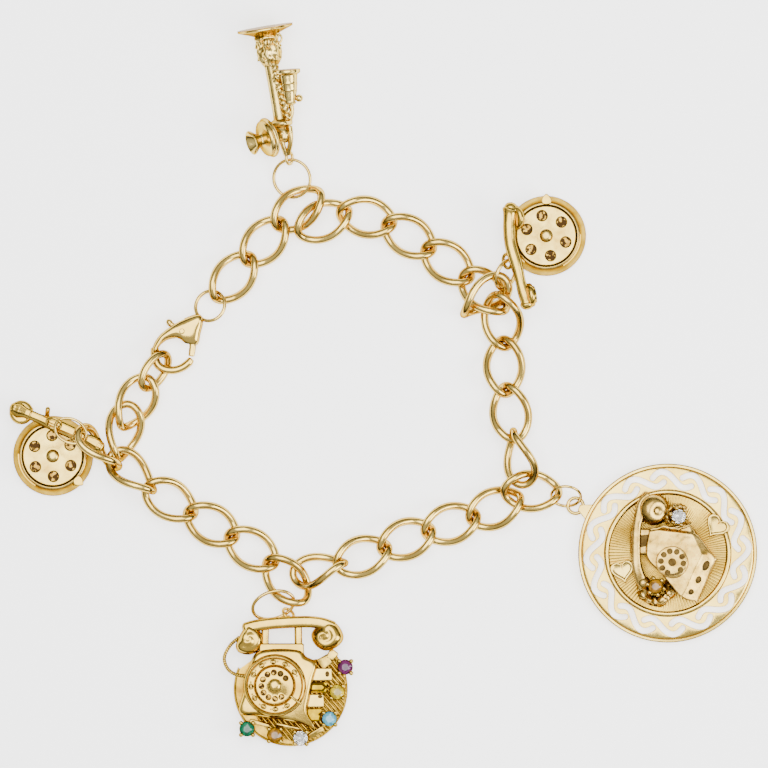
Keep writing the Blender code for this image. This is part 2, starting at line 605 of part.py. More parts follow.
def make_disc():
    frame = empty("disc_frame", (40.19 * MM, -24.0 * MM, 0))
    face = DISC_THICK
    disc = solid(turned("disc_charm", [
        (0, face - 0.2 * MM), (INNER_RING_RADIUS - 0.45 * MM, face - 0.2 * MM),
        (INNER_RING_RADIUS - 0.3 * MM, face + 0.3 * MM), (INNER_RING_RADIUS + 0.3 * MM, face + 0.3 * MM),
        (INNER_RING_RADIUS + 0.45 * MM, face - 0.1 * MM), (DISC_RADIUS - 0.55 * MM, face - 0.1 * MM),
        (DISC_RADIUS - 0.35 * MM, face), (DISC_RADIUS, face - 0.15 * MM), (DISC_RADIUS, 0.1 * MM),
        (DISC_RADIUS - 0.1 * MM, 0), (0, 0),
    ], 36))
    slots = slab_curve("slots", wave_outlines(), -MM, 2 * face)
    cut(disc, slots)
    low = face / MM - 0.5
    high = face / MM + RELIEF_HEIGHT / MM
    pieces = [
        block([(-10.1, 6.9), (-12.55, 6.75), (-12.9, 5.9), (-11.45, 4.3)], 0.3, 0.95),
        make_bail(frame, "disc"),
        slab_curve("hearts", [heart(3.3 * MM, (-6.42 * MM, -2.56 * MM), math.radians(-20)),
                              heart(3.5 * MM, (7.09 * MM, 3.79 * MM), math.radians(-20))],
                   low * MM, face + 0.75 * MM),
        block([(-2.2, 3.27), (3.2, 3.4), (6.75, -0.57), (4.35, -6.8), (1.85, -6.25), (-3.05, -0.43)],
              low, high, 0.25),
        rod([(-3.9, 7.0, high - 1.2), (-5.18, 3.3, high - 0.9), (-5.2, -1.1, high - 0.9), (-4.05, -4.0, high - 1.2)],
            0.58),
        rod([(-5.18, 3.3, high - 0.9), (-5.0, 3.0, low)], 0.4),
        rod([(-4.3, -3.4, high - 1.1), (-4.2, -3.2, low)], 0.4),
        rod([(-2.0, 6.5, high - 1.3), (-2.0, 6.5, low)], 0.7),
    ]
    ball = turned("ear", [(0, 1.7 * MM), (1.2 * MM, 1.4 * MM), (2.0 * MM, 0.6 * MM), (2.2 * MM, -0.2 * MM),
                          (1.6 * MM, -1.1 * MM), (0, -1.5 * MM)], 8)
    pieces.append(moved(ball, (-2.0 * MM, 6.5 * MM, high * MM - 1.5 * MM), (math.radians(20), math.radians(-25), 0)))
    pieces.append(moved(turned("mouth_cup", [(0, 1.2 * MM), (0.9 * MM, 0.9 * MM), (1.2 * MM, 0), (0.8 * MM, -0.9 * MM),
                                             (0, -1.1 * MM)], 6), (-3.7 * MM, -4.3 * MM, high * MM - 1.4 * MM)))
    dial = turned("dial", [(0, 0.55 * MM), (DISC_DIAL_RADIUS - 0.2 * MM, 0.55 * MM), (DISC_DIAL_RADIUS, 0.35 * MM),
                           (DISC_DIAL_RADIUS, -0.5 * MM), (0, -0.5 * MM)], 16)
    pieces.append(moved(dial, (0.5 * MM, -1.28 * MM, high * MM)))
    pieces += make_setting(frame, "stone_disc_clear", "clear", (1.5 * MM, 5.25 * MM, high * MM + 0.4 * MM), low * MM)
    pieces += make_setting(frame, "stone_disc_orange", "orange", (-1.77 * MM, -4.69 * MM, high * MM - 0.6 * MM), low * MM)
    fuse(disc, *pieces)
    finish(disc, frame, gold("disc_gold"))


def make_desk_phone():
    frame = empty("desk_frame", (-13.31 * MM, -43.31 * MM, 0))
    phone = solid(turned("desk_phone", [
        (0, PLATE_THICK), (PLATE_RADIUS - 0.5 * MM, PLATE_THICK), (PLATE_RADIUS, PLATE_THICK - 0.4 * MM),
        (PLATE_RADIUS, 0.35 * MM), (PLATE_RADIUS - 0.4 * MM, 0), (0, 0)], 32))
    body_top = BODY_TOP / MM
    plate = PLATE_THICK / MM - 0.4
    dial_spot = (-2.24 * MM, 0.61 * MM)
    pieces = [
        block([(-4.66, 5.54), (1.87, 5.54), (3.54, 3.69), (2.6, -1.0), (2.3, -4.2), (3.54, -5.54), (-2.2, -5.2),
               (-7.64, -3.41), (-6.1, 2.2), (-5.37, 4.54)][::-1], plate, body_top, 0.35),
        block([(-4.5, 4.8), (1.9, 4.8), (1.9, 6.6), (-4.5, 6.6)], 1.6, 3.2, 0.15),
        block([(2.2, 1.14), (5.9, 1.0), (5.85, 3.0), (2.5, 3.2)], plate, 2.9, 0.1),
        block([(1.8, -2.56), (4.7, -2.6), (4.75, -0.7), (2.0, -0.6)], plate, 2.9, 0.1),
        rod([(-6.9, 9.35, 2.4), (-3.0, 9.75, 2.4), (1.22, 9.95, 2.4), (5.2, 9.7, 2.4)], 0.8),
        rod([(-3.7, 9.2, 2.4), (-3.6, 5.2, 2.4)], 0.5),
        rod([(1.08, 9.4, 2.4), (1.2, 5.2, 2.4)], 0.5),
        rod([(-7.3, 7.4, 2.4), (-8.6, 6.2, 2.3), (-9.4, 4.5, 2.1), (-8.9, 2.9, 2.0), (-7.6, 2.05, 2.0), (-5.6, 1.8, 2.0)],
            0.24),
        rod([(-0.2, 9.8, 2.3), (-0.3, 10.1, 1.6)], 0.36),
        make_bail(frame, "desk"),
    ]
    ring = turned("dial_ring", [
        (0, 0.25 * MM), (DESK_DIAL_RING - 0.6 * MM, 0.25 * MM), (DESK_DIAL_RING - 0.5 * MM, 0.7 * MM),
        (DESK_DIAL_RING, 0.7 * MM), (DESK_DIAL_RING + 0.15 * MM, 0.3 * MM), (DESK_DIAL_RING + 0.2 * MM, -0.5 * MM),
        (0, -0.5 * MM)], 20)
    pieces.append(moved(ring, (dial_spot[0], dial_spot[1], BODY_TOP)))
    for x, radius, lean in ((-6.2, 1.65, 0), (5.1, 2.0, 6)):
        bell = turned("bell", [(0, 4.4 * MM), (radius * 0.75 * MM, 4.4 * MM), (radius * 0.95 * MM, 4.1 * MM),
                               (radius * MM, 3.2 * MM), (radius * 0.85 * MM, 1.4 * MM), (radius * 0.5 * MM, 0.3 * MM),
                               (0, 0)], 8)
        pieces.append(moved(bell, (x * MM, 9.5 * MM, 2.4 * MM), (math.radians(90), 0, math.radians(lean))))
    stones = [
        ("purple", 7.74, 3.19), ("yellow", 6.59, -0.34), ("blue", 5.5, -4.13),
        ("clear", 1.42, -6.86), ("orange", -2.24, -6.45), ("green", -6.18, -5.57),
    ]
    for colour, x, y in stones:
        pieces += make_setting(frame, "stone_desk_" + colour, colour, (x * MM, y * MM, 3.3 * MM), 0.9 * MM)
    fuse(phone, *pieces)
    bore = DIAL_PIN_RADIUS + 0.15 * MM
    floor = BODY_TOP + 0.25 * MM
    deep = DIAL_PIN_DEPTH + 0.2 * MM
    hole = turned("bore", [(0, MM), (bore, MM), (bore, -deep), (0, -deep)], 12)
    cut(phone, moved(hole, (dial_spot[0], dial_spot[1], floor)))
    finish(phone, frame, gold("desk_gold"))
    hub = empty("desk_hub", (dial_spot[0], dial_spot[1], floor + DIAL_GAP), parent=frame)
    make_dial("desk_dial", hub, WHEEL_RADIUS, 0.45 * MM, WHEEL_HOLES, WHEEL_HOLE_RADIUS, WHEEL_HOLE_CIRCLE,
              WHEEL_HUB_RADIUS, math.radians(18), gold("desk_dial_gold"))


def place_on_floor():
    # The whole bracelet is centred on the origin and its lowest point is put at z = 0
    bpy.context.view_layer.update()
    graph = bpy.context.evaluated_depsgraph_get()
    low = Vector((1, 1, 1))
    high = Vector((-1, -1, -1))
    for part in scene.collection.objects:
        if part.type == "EMPTY":
            continue
        shape = part.evaluated_get(graph)
        mesh = shape.to_mesh()
        for vertex in mesh.vertices:
            spot = shape.matrix_world @ vertex.co
            for axis in range(3):
                low[axis] = min(low[axis], spot[axis])
                high[axis] = max(high[axis], spot[axis])
        shape.to_mesh_clear()
    root.location = (-(low.x + high.x) / 2, -(low.y + high.y) / 2, -low.z)
    bpy.context.view_layer.update()


make_chain()
make_clasp()
make_candlestick()
make_round_phones()
make_disc()
make_desk_phone()
place_on_floor()
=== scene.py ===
import math
import bmesh
import bpy
import numpy as np
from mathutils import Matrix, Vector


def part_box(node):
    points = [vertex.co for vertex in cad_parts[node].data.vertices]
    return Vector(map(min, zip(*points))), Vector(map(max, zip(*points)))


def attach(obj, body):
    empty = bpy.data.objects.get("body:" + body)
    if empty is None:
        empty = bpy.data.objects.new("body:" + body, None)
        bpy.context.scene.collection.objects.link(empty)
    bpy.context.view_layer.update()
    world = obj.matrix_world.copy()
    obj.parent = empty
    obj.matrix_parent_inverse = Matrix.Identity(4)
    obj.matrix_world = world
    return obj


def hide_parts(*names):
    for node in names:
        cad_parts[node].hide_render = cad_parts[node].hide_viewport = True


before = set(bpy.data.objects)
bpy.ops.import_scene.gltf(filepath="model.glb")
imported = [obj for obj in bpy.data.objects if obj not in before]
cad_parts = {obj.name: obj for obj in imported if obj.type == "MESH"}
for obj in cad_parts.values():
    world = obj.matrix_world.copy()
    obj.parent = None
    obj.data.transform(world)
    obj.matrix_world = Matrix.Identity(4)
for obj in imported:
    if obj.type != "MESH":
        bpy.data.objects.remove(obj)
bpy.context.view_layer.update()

mm = 0.001
body = "bracelet"
capRows = 10    # rows of points in the rounded end of a swept rod

# the drawing's places are in mm; the clasp ring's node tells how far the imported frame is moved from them
drawnRing = (-24.74, 11.09, 1.38)
ringLow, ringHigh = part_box("ring_clasp")
frameShift = (np.array(ringLow) + np.array(ringHigh)) / 2 / mm - np.array(drawnRing)


def unit(vectors):
    # each vector divided by its length
    return vectors / np.maximum(np.linalg.norm(vectors, axis=-1, keepdims=True), 1e-12)


def turnMatrix(heading, pitch=0.0, roll=0.0):
    # turn about Z by heading, then lift the x axis by pitch, then roll about the x axis
    h, p, r = np.radians([heading, pitch, roll])
    rz = np.array([[np.cos(h), -np.sin(h), 0], [np.sin(h), np.cos(h), 0], [0, 0, 1]])
    ry = np.array([[np.cos(p), 0, -np.sin(p)], [0, 1, 0], [np.sin(p), 0, np.cos(p)]])
    rx = np.array([[1, 0, 0], [0, np.cos(r), -np.sin(r)], [0, np.sin(r), np.cos(r)]])
    return rz @ ry @ rx


def placed(patch, matrix=None, at=(0, 0, 0)):
    # patch point = matrix * point + place
    points, faces = patch
    matrix = np.eye(3) if matrix is None else np.array(matrix)
    return points @ matrix.T + np.array(at, float), faces


def gridPatch(points, closeU=False, closeV=False):
    # quads between neighbours (i, j), (i+1, j), (i+1, j+1), (i, j+1) of a grid of points
    rows, columns = points.shape[:2]
    i = np.arange(rows if closeU else rows - 1)[:, None]
    j = np.arange(columns if closeV else columns - 1)[None, :]
    a = i * columns + j
    b = ((i + 1) % rows) * columns + j
    c = ((i + 1) % rows) * columns + (j + 1) % columns
    d = i * columns + (j + 1) % columns
    return points.reshape(-1, 3), [np.stack([a, b, c, d], -1).reshape(-1, 4)]


def catmullRom(p0, p1, p2, p3, f):
    # (2 p1 + (p2 - p0) f + (2 p0 - 5 p1 + 4 p2 - p3) f squared + (3 p1 - p0 - 3 p2 + p3) f cubed) / 2
    return 0.5 * (2 * p1 + (p2 - p0) * f + (2 * p0 - 5 * p1 + 4 * p2 - p3) * f ** 2
                  + (3 * p1 - p0 - 3 * p2 + p3) * f ** 3)


def rounded(path, count):
    # a smooth curve through the path's points, cut into count steps: Catmull-Rom on each span
    path = np.array(path, float)
    ends = np.vstack([2 * path[0] - path[1], path, 2 * path[-1] - path[-2]])
    t = np.linspace(0, len(path) - 1 - 1e-9, count)
    k = t.astype(int)
    f = (t - k)[:, None]
    return catmullRom(ends[k], ends[k + 1], ends[k + 2], ends[k + 3], f)


def sweep(path, width, height=None, sides=16, closed=False, up=(0, 0, 1), square=0.0, flutes=0, fluteDepth=0.0,
          caps=0.5):
    # a profile carried along a path: point = path(t) + width(t) cos(u) side(t) + height(t) sin(u) normal(t);
    # an open path is closed by rounded ends whose radius falls as the square root of 1 - s squared
    path = np.array(path, float)
    width = np.broadcast_to(np.array(width, float), (len(path),)).copy()
    height = width.copy() if height is None else np.broadcast_to(np.array(height, float), (len(path),)).copy()
    if closed:
        tangent = unit(np.roll(path, -1, 0) - np.roll(path, 1, 0))
    else:
        tangent = unit(np.gradient(path, axis=0))
        s = np.linspace(1, 0, capRows)[:, None]
        startCap = path[0] - tangent[0] * height[0] * caps * s
        endCap = path[-1] + tangent[-1] * height[-1] * caps * s[::-1]
        shrink = np.sqrt(np.maximum(1 - s[:, 0] ** 2, 0))
        path = np.vstack([startCap[:-1], path, endCap[1:]])
        width = np.concatenate([width[0] * shrink[:-1], width, width[-1] * shrink[::-1][1:]])
        height = np.concatenate([height[0] * shrink[:-1], height, height[-1] * shrink[::-1][1:]])
        added = capRows - 1
        tangent = np.vstack([np.repeat(tangent[:1], added, 0), tangent, np.repeat(tangent[-1:], added, 0)])
    side = unit(np.cross(tangent, np.array(up, float)))
    normal = np.cross(side, tangent)
    u = np.linspace(0, 2 * np.pi, sides, endpoint=False)
    power = 1 - square * 0.5
    cu = np.sign(np.cos(u)) * np.abs(np.cos(u)) ** power
    su = np.sign(np.sin(u)) * np.abs(np.sin(u)) ** power
    ripple = 1 + fluteDepth * np.cos(flutes * u)
    points = (path[:, None] + side[:, None] * (width[:, None] * cu * ripple)[..., None]
              + normal[:, None] * (height[:, None] * su * ripple)[..., None])
    return gridPatch(points, closed, True)


def around(r, t, z):
    # (r cos t, r sin t, z)
    r, t, z = np.broadcast_arrays(r, t, z)
    return np.stack([r * np.cos(t), r * np.sin(t), z], -1)


def turned(profile, steps=48, smoothRows=0, flutes=0, fluteDepth=None):
    # a profile of radius r and height z turned about Z: (r cos u, r sin u, z); flutes make r wave round the axis
    profile = np.array(profile, float)
    if smoothRows:
        profile = rounded(profile, smoothRows)
        profile[:, 0] = np.maximum(profile[:, 0], 0)
    u = np.linspace(0, 2 * np.pi, steps, endpoint=False)
    depth = np.zeros(len(profile)) if fluteDepth is None else np.array(fluteDepth, float)
    r = profile[:, 0, None] * (1 + depth[:, None] * np.cos(flutes * u))
    return gridPatch(around(r, u, profile[:, 1, None]), False, True)


def inset(outline, distance):
    # each corner moved inwards along the mean normal of its two sides
    before = unit(outline - np.roll(outline, 1, 0))
    after = unit(np.roll(outline, -1, 0) - outline)
    normal = unit(np.stack([-(before + after)[:, 1], (before + after)[:, 0]], -1))
    cosine = np.clip((normal * np.stack([-after[:, 1], after[:, 0]], -1)).sum(-1), 0.5, 1)
    x, y = outline.T
    area = (x * np.roll(y, -1) - np.roll(x, -1) * y).sum()
    return outline + np.sign(area) * normal * (distance / cosine)[:, None]


def atHeight(outline, z):
    # the flat outline lifted to height z
    return np.column_stack([outline, np.full(len(outline), z)])


def lidded(rings):
    # a wall through rings of points, with a flat lid at each end
    points, faces = gridPatch(np.stack(rings), False, True)
    n, count = len(rings[0]), len(points)
    return points, faces + [np.arange(n)[None, ::-1], np.arange(count - n, count)[None]]


def slab(outline, low, high, edge=0.1, rows=4):
    # a plate whose edge is a quarter round: inset = edge (1 - cos a), height = high - edge (1 - sin a)
    outline = np.array(outline, float)
    a = np.linspace(0, np.pi / 2, rows)
    insets = np.concatenate([[edge * 0.4, 0.0], edge * (1 - np.cos(a))])
    heights = np.concatenate([[low, low + edge * 0.4], high - edge * (1 - np.sin(a))])
    return lidded([atHeight(inset(outline, d), z) for d, z in zip(insets, heights)])


def nearestOn(outline, line):
    # for each outline point, the closest point of an open line
    a, b = line[:-1], line[1:]
    along = b - a
    t = np.clip(((outline[:, None] - a) * along).sum(-1) / (along ** 2).sum(-1), 0, 1)
    spots = a + along * t[..., None]
    nearest = np.linalg.norm(spots - outline[:, None], axis=-1).argmin(1)
    return spots[np.arange(len(outline)), nearest]


def boxOutline(x0, x1, y0, y1, corner, steps=6):
    # a rectangle whose corners are quarter circles: corner place + corner (cos a, sin a), turned by n quarters
    a = np.linspace(0, np.pi / 2, steps)
    quarter = np.stack([np.cos(a), np.sin(a)], -1) * corner
    left, right, lower, upper = x0 + corner, x1 - corner, y0 + corner, y1 - corner
    parts = []
    for n, (x, y) in enumerate(((right, upper), (left, upper), (left, lower), (right, lower))):
        c, k = round(math.cos(n * math.pi / 2)), round(math.sin(n * math.pi / 2))
        parts.append(quarter @ np.array([[c, k], [-k, c]]) + (x, y))
    return np.vstack(parts)


def dome(outline, centre, low, high, edge, rows=30, shape=None):
    # a raised field over an outline seen whole from its centre: point = centre + (outline - centre) k; its height
    # falls by a quarter round of radius edge near the rim, and shape(x, y) is added to it
    outline = np.array(outline, float)
    centre = np.array(centre, float)
    reach = np.linalg.norm(outline - centre, axis=1)
    rise = np.sin(np.linspace(0, np.pi / 2, 8)[1:])
    near = edge * (1 - np.cos(np.linspace(0, np.pi / 2, 8)[1:]))
    rings = [atHeight(outline, low), atHeight(outline, high - edge)]
    for d, z in zip(near, rise):
        k = (1 - d / reach)[:, None]
        rings.append(atHeight(centre + (outline - centre) * k, high - edge + edge * z))
    start = (1 - edge / reach)[:, None]
    for m in np.linspace(1, 0.004, rows)[1:]:
        rings.append(atHeight(centre + (outline - centre) * start * m, high))
    points, faces = gridPatch(np.stack(rings), False, True)
    if shape is not None:
        lift = shape(points[:, 0], points[:, 1])
        points[:, 2] += np.where(points[:, 2] > low + 0.01, lift, 0)
    count = len(points)
    n = len(outline)
    return points, faces + [np.arange(count - n, count)[None]]


def pillow(outline, spine, height, rows, power):
    # a plate that swells to a spine: point = outline + (nearest spine point - outline) v,
    # z = height (1 - (1 - v) squared) to the power
    outline = np.array(outline, float)
    spine = np.array(spine, float)
    target = nearestOn(outline, spine)
    v = np.linspace(0, 0.9, rows)
    lift = height * (1 - (1 - v) ** 2) ** power

    # one face of the plate: the lower for sign -1, the upper for sign 1
    def half(sign):
        flat = outline[None] + (target - outline)[None] * v[:, None, None]
        z = np.broadcast_to((sign * lift)[:, None], flat.shape[:2])
        return np.concatenate([flat, z[..., None]], -1)

    return lidded(np.concatenate([half(-1)[::-1], half(1)[1:]]))


def circlePath(radiusX, radiusY, count):
    # an ellipse: (a cos t, b sin t, 0)
    t = np.linspace(0, 2 * np.pi, count, endpoint=False)
    return np.stack([radiusX * np.cos(t), radiusY * np.sin(t), 0 * t], -1)


def torus(radiusX, radiusY, wire, count=48, sides=14):
    # a round wire along an ellipse: path + wire / 2 (cos u side + sin u normal)
    return sweep(circlePath(radiusX, radiusY, count), wire / 2, sides=sides, closed=True)


def ball(radius, stretch=1.0, steps=14):
    # a sphere as a turned half circle, stretched along Z
    a = np.linspace(np.pi / 2, -np.pi / 2, 9)
    return turned(np.stack([radius * np.cos(a), radius * stretch * np.sin(a)], -1), steps)


def smoothOutline(corners, count):
    # a closed Catmull-Rom curve through the corners
    corners = np.array(corners, float)
    t = np.linspace(0, len(corners), count, endpoint=False)
    k = t.astype(int)
    f = (t - k)[:, None]
    n = len(corners)
    return catmullRom(corners[(k - 1) % n], corners[k % n], corners[(k + 1) % n], corners[(k + 2) % n], f)


def meshPiece(name, patches, material, smooth=True, sharpAngle=40):
    # patches of points and faces in mm become one mesh in metres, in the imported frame
    points = np.vstack([patch[0] for patch in patches]) * mm + frameShift * mm
    faces = []
    start = 0
    for patch in patches:
        for block in patch[1]:
            faces += (block + start).tolist()
        start += len(patch[0])
    mesh = bpy.data.meshes.new(name)
    mesh.from_pydata(points.tolist(), [], faces)
    work = bmesh.new()
    work.from_mesh(mesh)
    bmesh.ops.remove_doubles(work, verts=work.verts, dist=2e-7)
    bmesh.ops.recalc_face_normals(work, faces=work.faces)
    work.to_mesh(mesh)
    work.free()
    if smooth:
        mesh.shade_smooth()
        mesh.set_sharp_from_angle(angle=math.radians(sharpAngle))
    mesh.materials.append(material)
    piece = bpy.data.objects.new(name, mesh)
    bpy.context.scene.collection.objects.link(piece)
    return piece


def carve(piece, patches):
    # the patches are cut out of the piece, and the cut is written into its mesh
    cutter = meshPiece(piece.name + "_cutter", patches, piece.data.materials[0])
    change = piece.modifiers.new("carve", "BOOLEAN")
    change.operation = "DIFFERENCE"
    change.solver = "EXACT"
    change.object = cutter
    graph = bpy.context.evaluated_depsgraph_get()
    mesh = bpy.data.meshes.new_from_object(piece.evaluated_get(graph), depsgraph=graph)
    piece.modifiers.clear()
    piece.data = mesh
    mesh.shade_smooth()
    mesh.set_sharp_from_angle(angle=math.radians(35))
    bpy.data.objects.remove(cutter, do_unlink=True)
    return piece


def polar(radius, turn, centre=(0, 0), high=0.0):
    # centre + radius (cos turn, sin turn), at a height
    return centre[0] + radius * math.cos(turn), centre[1] + radius * math.sin(turn), high


def settle(piece, node, rider=body):
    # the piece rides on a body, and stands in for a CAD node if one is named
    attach(piece, rider)
    if node:
        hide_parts(node)
    return piece


def addPiece(name, patches, material, node=None, rider=body, sharpAngle=40):
    # a smooth piece made and settled
    return settle(meshPiece(name, patches, material, sharpAngle=sharpAngle), node, rider)


# Materials

def hexColour(text):
    # an sRGB hex value turned to linear red, green, blue and 1
    values = [int(text[n:n + 2], 16) / 255 for n in (1, 3, 5)]
    linear = [v / 12.92 if v <= 0.04045 else ((v + 0.055) / 1.055) ** 2.4 for v in values]
    return (*linear, 1)


def addNode(tree, kind, links=(), sockets=(), **settings):
    # one node with its settings, its socket values and its incoming links
    node = tree.nodes.new(kind)
    for key, value in settings.items():
        setattr(node, key, value)
    for key, value in dict(sockets).items():
        node.inputs[key].default_value = value
    for key, source in dict(links).items():
        tree.links.new(source, node.inputs[key])
    return node


goldLook = {
    "polished": "#D6B452",     # high places of 14 carat yellow gold
    "deep": "#AC8A36",         # the same metal where polish has worn thin
    "recess": "#3A2A12",       # dark brown: painted shade in holes and slots; also dark stains and spots
    "edge": "#9A7C34",         # what the alloy reflects at a grazing angle
    "scratchMm": 0.35,         # length of a polishing mark
    "tonesPerMetre": 260.0,    # slow changes of tone, one in about 4 mm
}


def makeGold(name, light, dark, roughness, bumpMm, spread=1.0):
    # cast or drawn 14 carat yellow gold: metal with faint polishing marks and a slow change of tone
    material = bpy.data.materials.new(name)
    material.use_nodes = True
    tree = material.node_tree
    shader = tree.nodes["Principled BSDF"]
    place = addNode(tree, "ShaderNodeTexCoord")
    slow = addNode(tree, "ShaderNodeTexNoise", {"Vector": place.outputs["Object"]},
                   {"Scale": goldLook["tonesPerMetre"] * spread, "Detail": 3.0, "Roughness": 0.55})
    tone = addNode(tree, "ShaderNodeValToRGB", {"Fac": slow.outputs["Fac"]})
    tone.color_ramp.elements[0].position = 0.3
    tone.color_ramp.elements[0].color = hexColour(dark)
    tone.color_ramp.elements[1].position = 0.7
    tone.color_ramp.elements[1].color = hexColour(light)
    marks = addNode(tree, "ShaderNodeTexNoise", {"Vector": place.outputs["Object"]},
                    {"Scale": 1 / (goldLook["scratchMm"] * mm), "Detail": 4.0, "Roughness": 0.6})
    polish = addNode(tree, "ShaderNodeMapRange", {"Value": marks.outputs["Fac"]},
                     {"From Min": 0.3, "From Max": 0.7, "To Min": roughness * 0.8, "To Max": roughness * 1.25})
    dents = addNode(tree, "ShaderNodeBump", {"Height": marks.outputs["Fac"]},
                    {"Strength": 0.25, "Distance": bumpMm * mm})
    tree.links.new(tone.outputs["Color"], shader.inputs["Base Color"])
    tree.links.new(polish.outputs["Result"], shader.inputs["Roughness"])
    tree.links.new(dents.outputs["Normal"], shader.inputs["Normal"])
    shader.inputs["Metallic"].default_value = 1.0
    shader.inputs["Specular Tint"].default_value = hexColour(goldLook["edge"])
    return material


gemLook = {
    "facetMm": 0.5,     # width of a painted far facet seen through the table
    "shade": 0.45,      # painted shade: a dark facet's share of the body colour
    "rough": 0.02,      # a lapidary's polish
}


def makeStone(name, colour, ior, passing):
    # a cut and polished gem: a coloured glassy body with light and dark cells painted into its colour for the far
    # facets
    material = bpy.data.materials.new(name)
    material.use_nodes = True
    tree = material.node_tree
    shader = tree.nodes["Principled BSDF"]
    place = addNode(tree, "ShaderNodeTexCoord")
    # painted light and shade: lighter and darker cells of body colour stand in for far facets seen through the table
    cells = addNode(tree, "ShaderNodeTexVoronoi", {"Vector": place.outputs["Object"]},
                    {"Scale": 1 / (gemLook["facetMm"] * mm)})
    tone = addNode(tree, "ShaderNodeValToRGB", {"Fac": cells.outputs["Color"]})
    tone.color_ramp.elements[0].position = 0.25
    tone.color_ramp.elements[0].color = [v * gemLook["shade"] for v in hexColour(colour)[:3]] + [1]
    tone.color_ramp.elements[1].position = 0.75
    tone.color_ramp.elements[1].color = hexColour(colour)
    tree.links.new(tone.outputs["Color"], shader.inputs["Base Color"])
    shader.inputs["Transmission Weight"].default_value = passing
    shader.inputs["IOR"].default_value = ior
    shader.inputs["Roughness"].default_value = gemLook["rough"]
    return material


def makeCard():
    # the old number card: gold with dark brown marks that polish never reached, half a millimetre apart
    material = makeGold("numberCardGold", "#B28E3A", "#6E4E1A", 0.25, 0.05, 4.0)
    tree = material.node_tree
    shader = tree.nodes["Principled BSDF"]
    tone = shader.inputs["Base Color"].links[0].from_socket
    place = addNode(tree, "ShaderNodeTexCoord")
    marks = addNode(tree, "ShaderNodeTexNoise", {"Vector": place.outputs["Object"]}, {"Scale": 2100.0, "Detail": 1.0})
    edge = addNode(tree, "ShaderNodeMapRange", {"Value": marks.outputs["Fac"]},
                   {"From Min": 0.45, "From Max": 0.5, "To Min": 0.0, "To Max": 1.0})
    mixed = addNode(tree, "ShaderNodeMix", {"Factor": edge.outputs["Result"], 6: tone}, {7: hexColour("#2A1C0C")},
                    data_type="RGBA")
    tree.links.new(mixed.outputs[2], shader.inputs["Base Color"])
    return material


# each gold: light and dark tone, roughness, depth of its marks in mm, and how much closer than usual its tones change
chainGold = makeGold("drawnGoldWire", "#E2C26A", "#BE9C4A", 0.15, 0.012)              # drawn: clean lines of light
claspGold = makeGold("polishedGoldCasting", "#DCBC62", "#B89646", 0.13, 0.01)         # mirror with soft dark bands
charmGold = makeGold("castGoldPolished", goldLook["polished"], goldLook["deep"], 0.18, 0.02)     # polished casting
castGold = makeGold("castGoldRough", goldLook["polished"], "#9A7E34", 0.22, 0.06, 3.0)           # uneven glints
candlestickLightGold = makeGold("candlestickPaintedLightGold", "#E6CA76", "#C2A452", 0.2, 0.03, 2.0)          # lighter copy: painted light that lifts the candlestick's shade; slightly uneven
paleHighlightGold = makeGold("paintedHighlightPaleGold", "#E0C46C", "#C2A24C", 0.2, 0.008)                # paler copy: painted highlight on flat faces
plateGold = makeGold("wornPlateGold", "#DABE68", "#AC8C40", 0.24, 0.05, 2.0)          # fingered plate with soft dents
reliefGold = makeGold("dulledCastGold", "#D2B060", "#94742E", 0.24, 0.05, 2.5)        # cast skin gone a little brown
fanShadeGold = makeGold("fanFlutesPaintedShadeGold", "#CCAA48", "#987622", 0.24, 0.01)                 # darker, deeper yellow copy: painted shade between the flutes
drumShadeGold = makeGold("drumWallPaintedShadeGold", "#C0A254", "#927636", 0.22, 0.015, 2.0)            # darker tan copy: painted shade on the drums' side walls
plateShadeGold = makeGold("ridgedPlatePaintedShadeGold", "#BC9834", "#7A5A18", 0.24, 0.02, 2.0)             # darker brown-gold copy: painted shade on the low ridged plate
paintedReflectionGold = makeGold("paintedGoldInGoldReflection", "#A88A00", "#765C00", 0.12, 0.03, 3.0)     # deep yellow: painted reflection of gold in gold
numberGold = makeGold("brownedNumberGold", "#6E5220", "#4A3412", 0.4, 0.02, 3.0)      # worn brown numbers
stainAndShadeGold = makeGold("darkStainAndPaintedShadeGold", "#5A4824", goldLook["recess"], 0.45, 0.05, 4.0)      # dark brown: painted shade in holes and slots; also dark stains and spots
cardGold = makeCard()
print("materials made")

# Chain

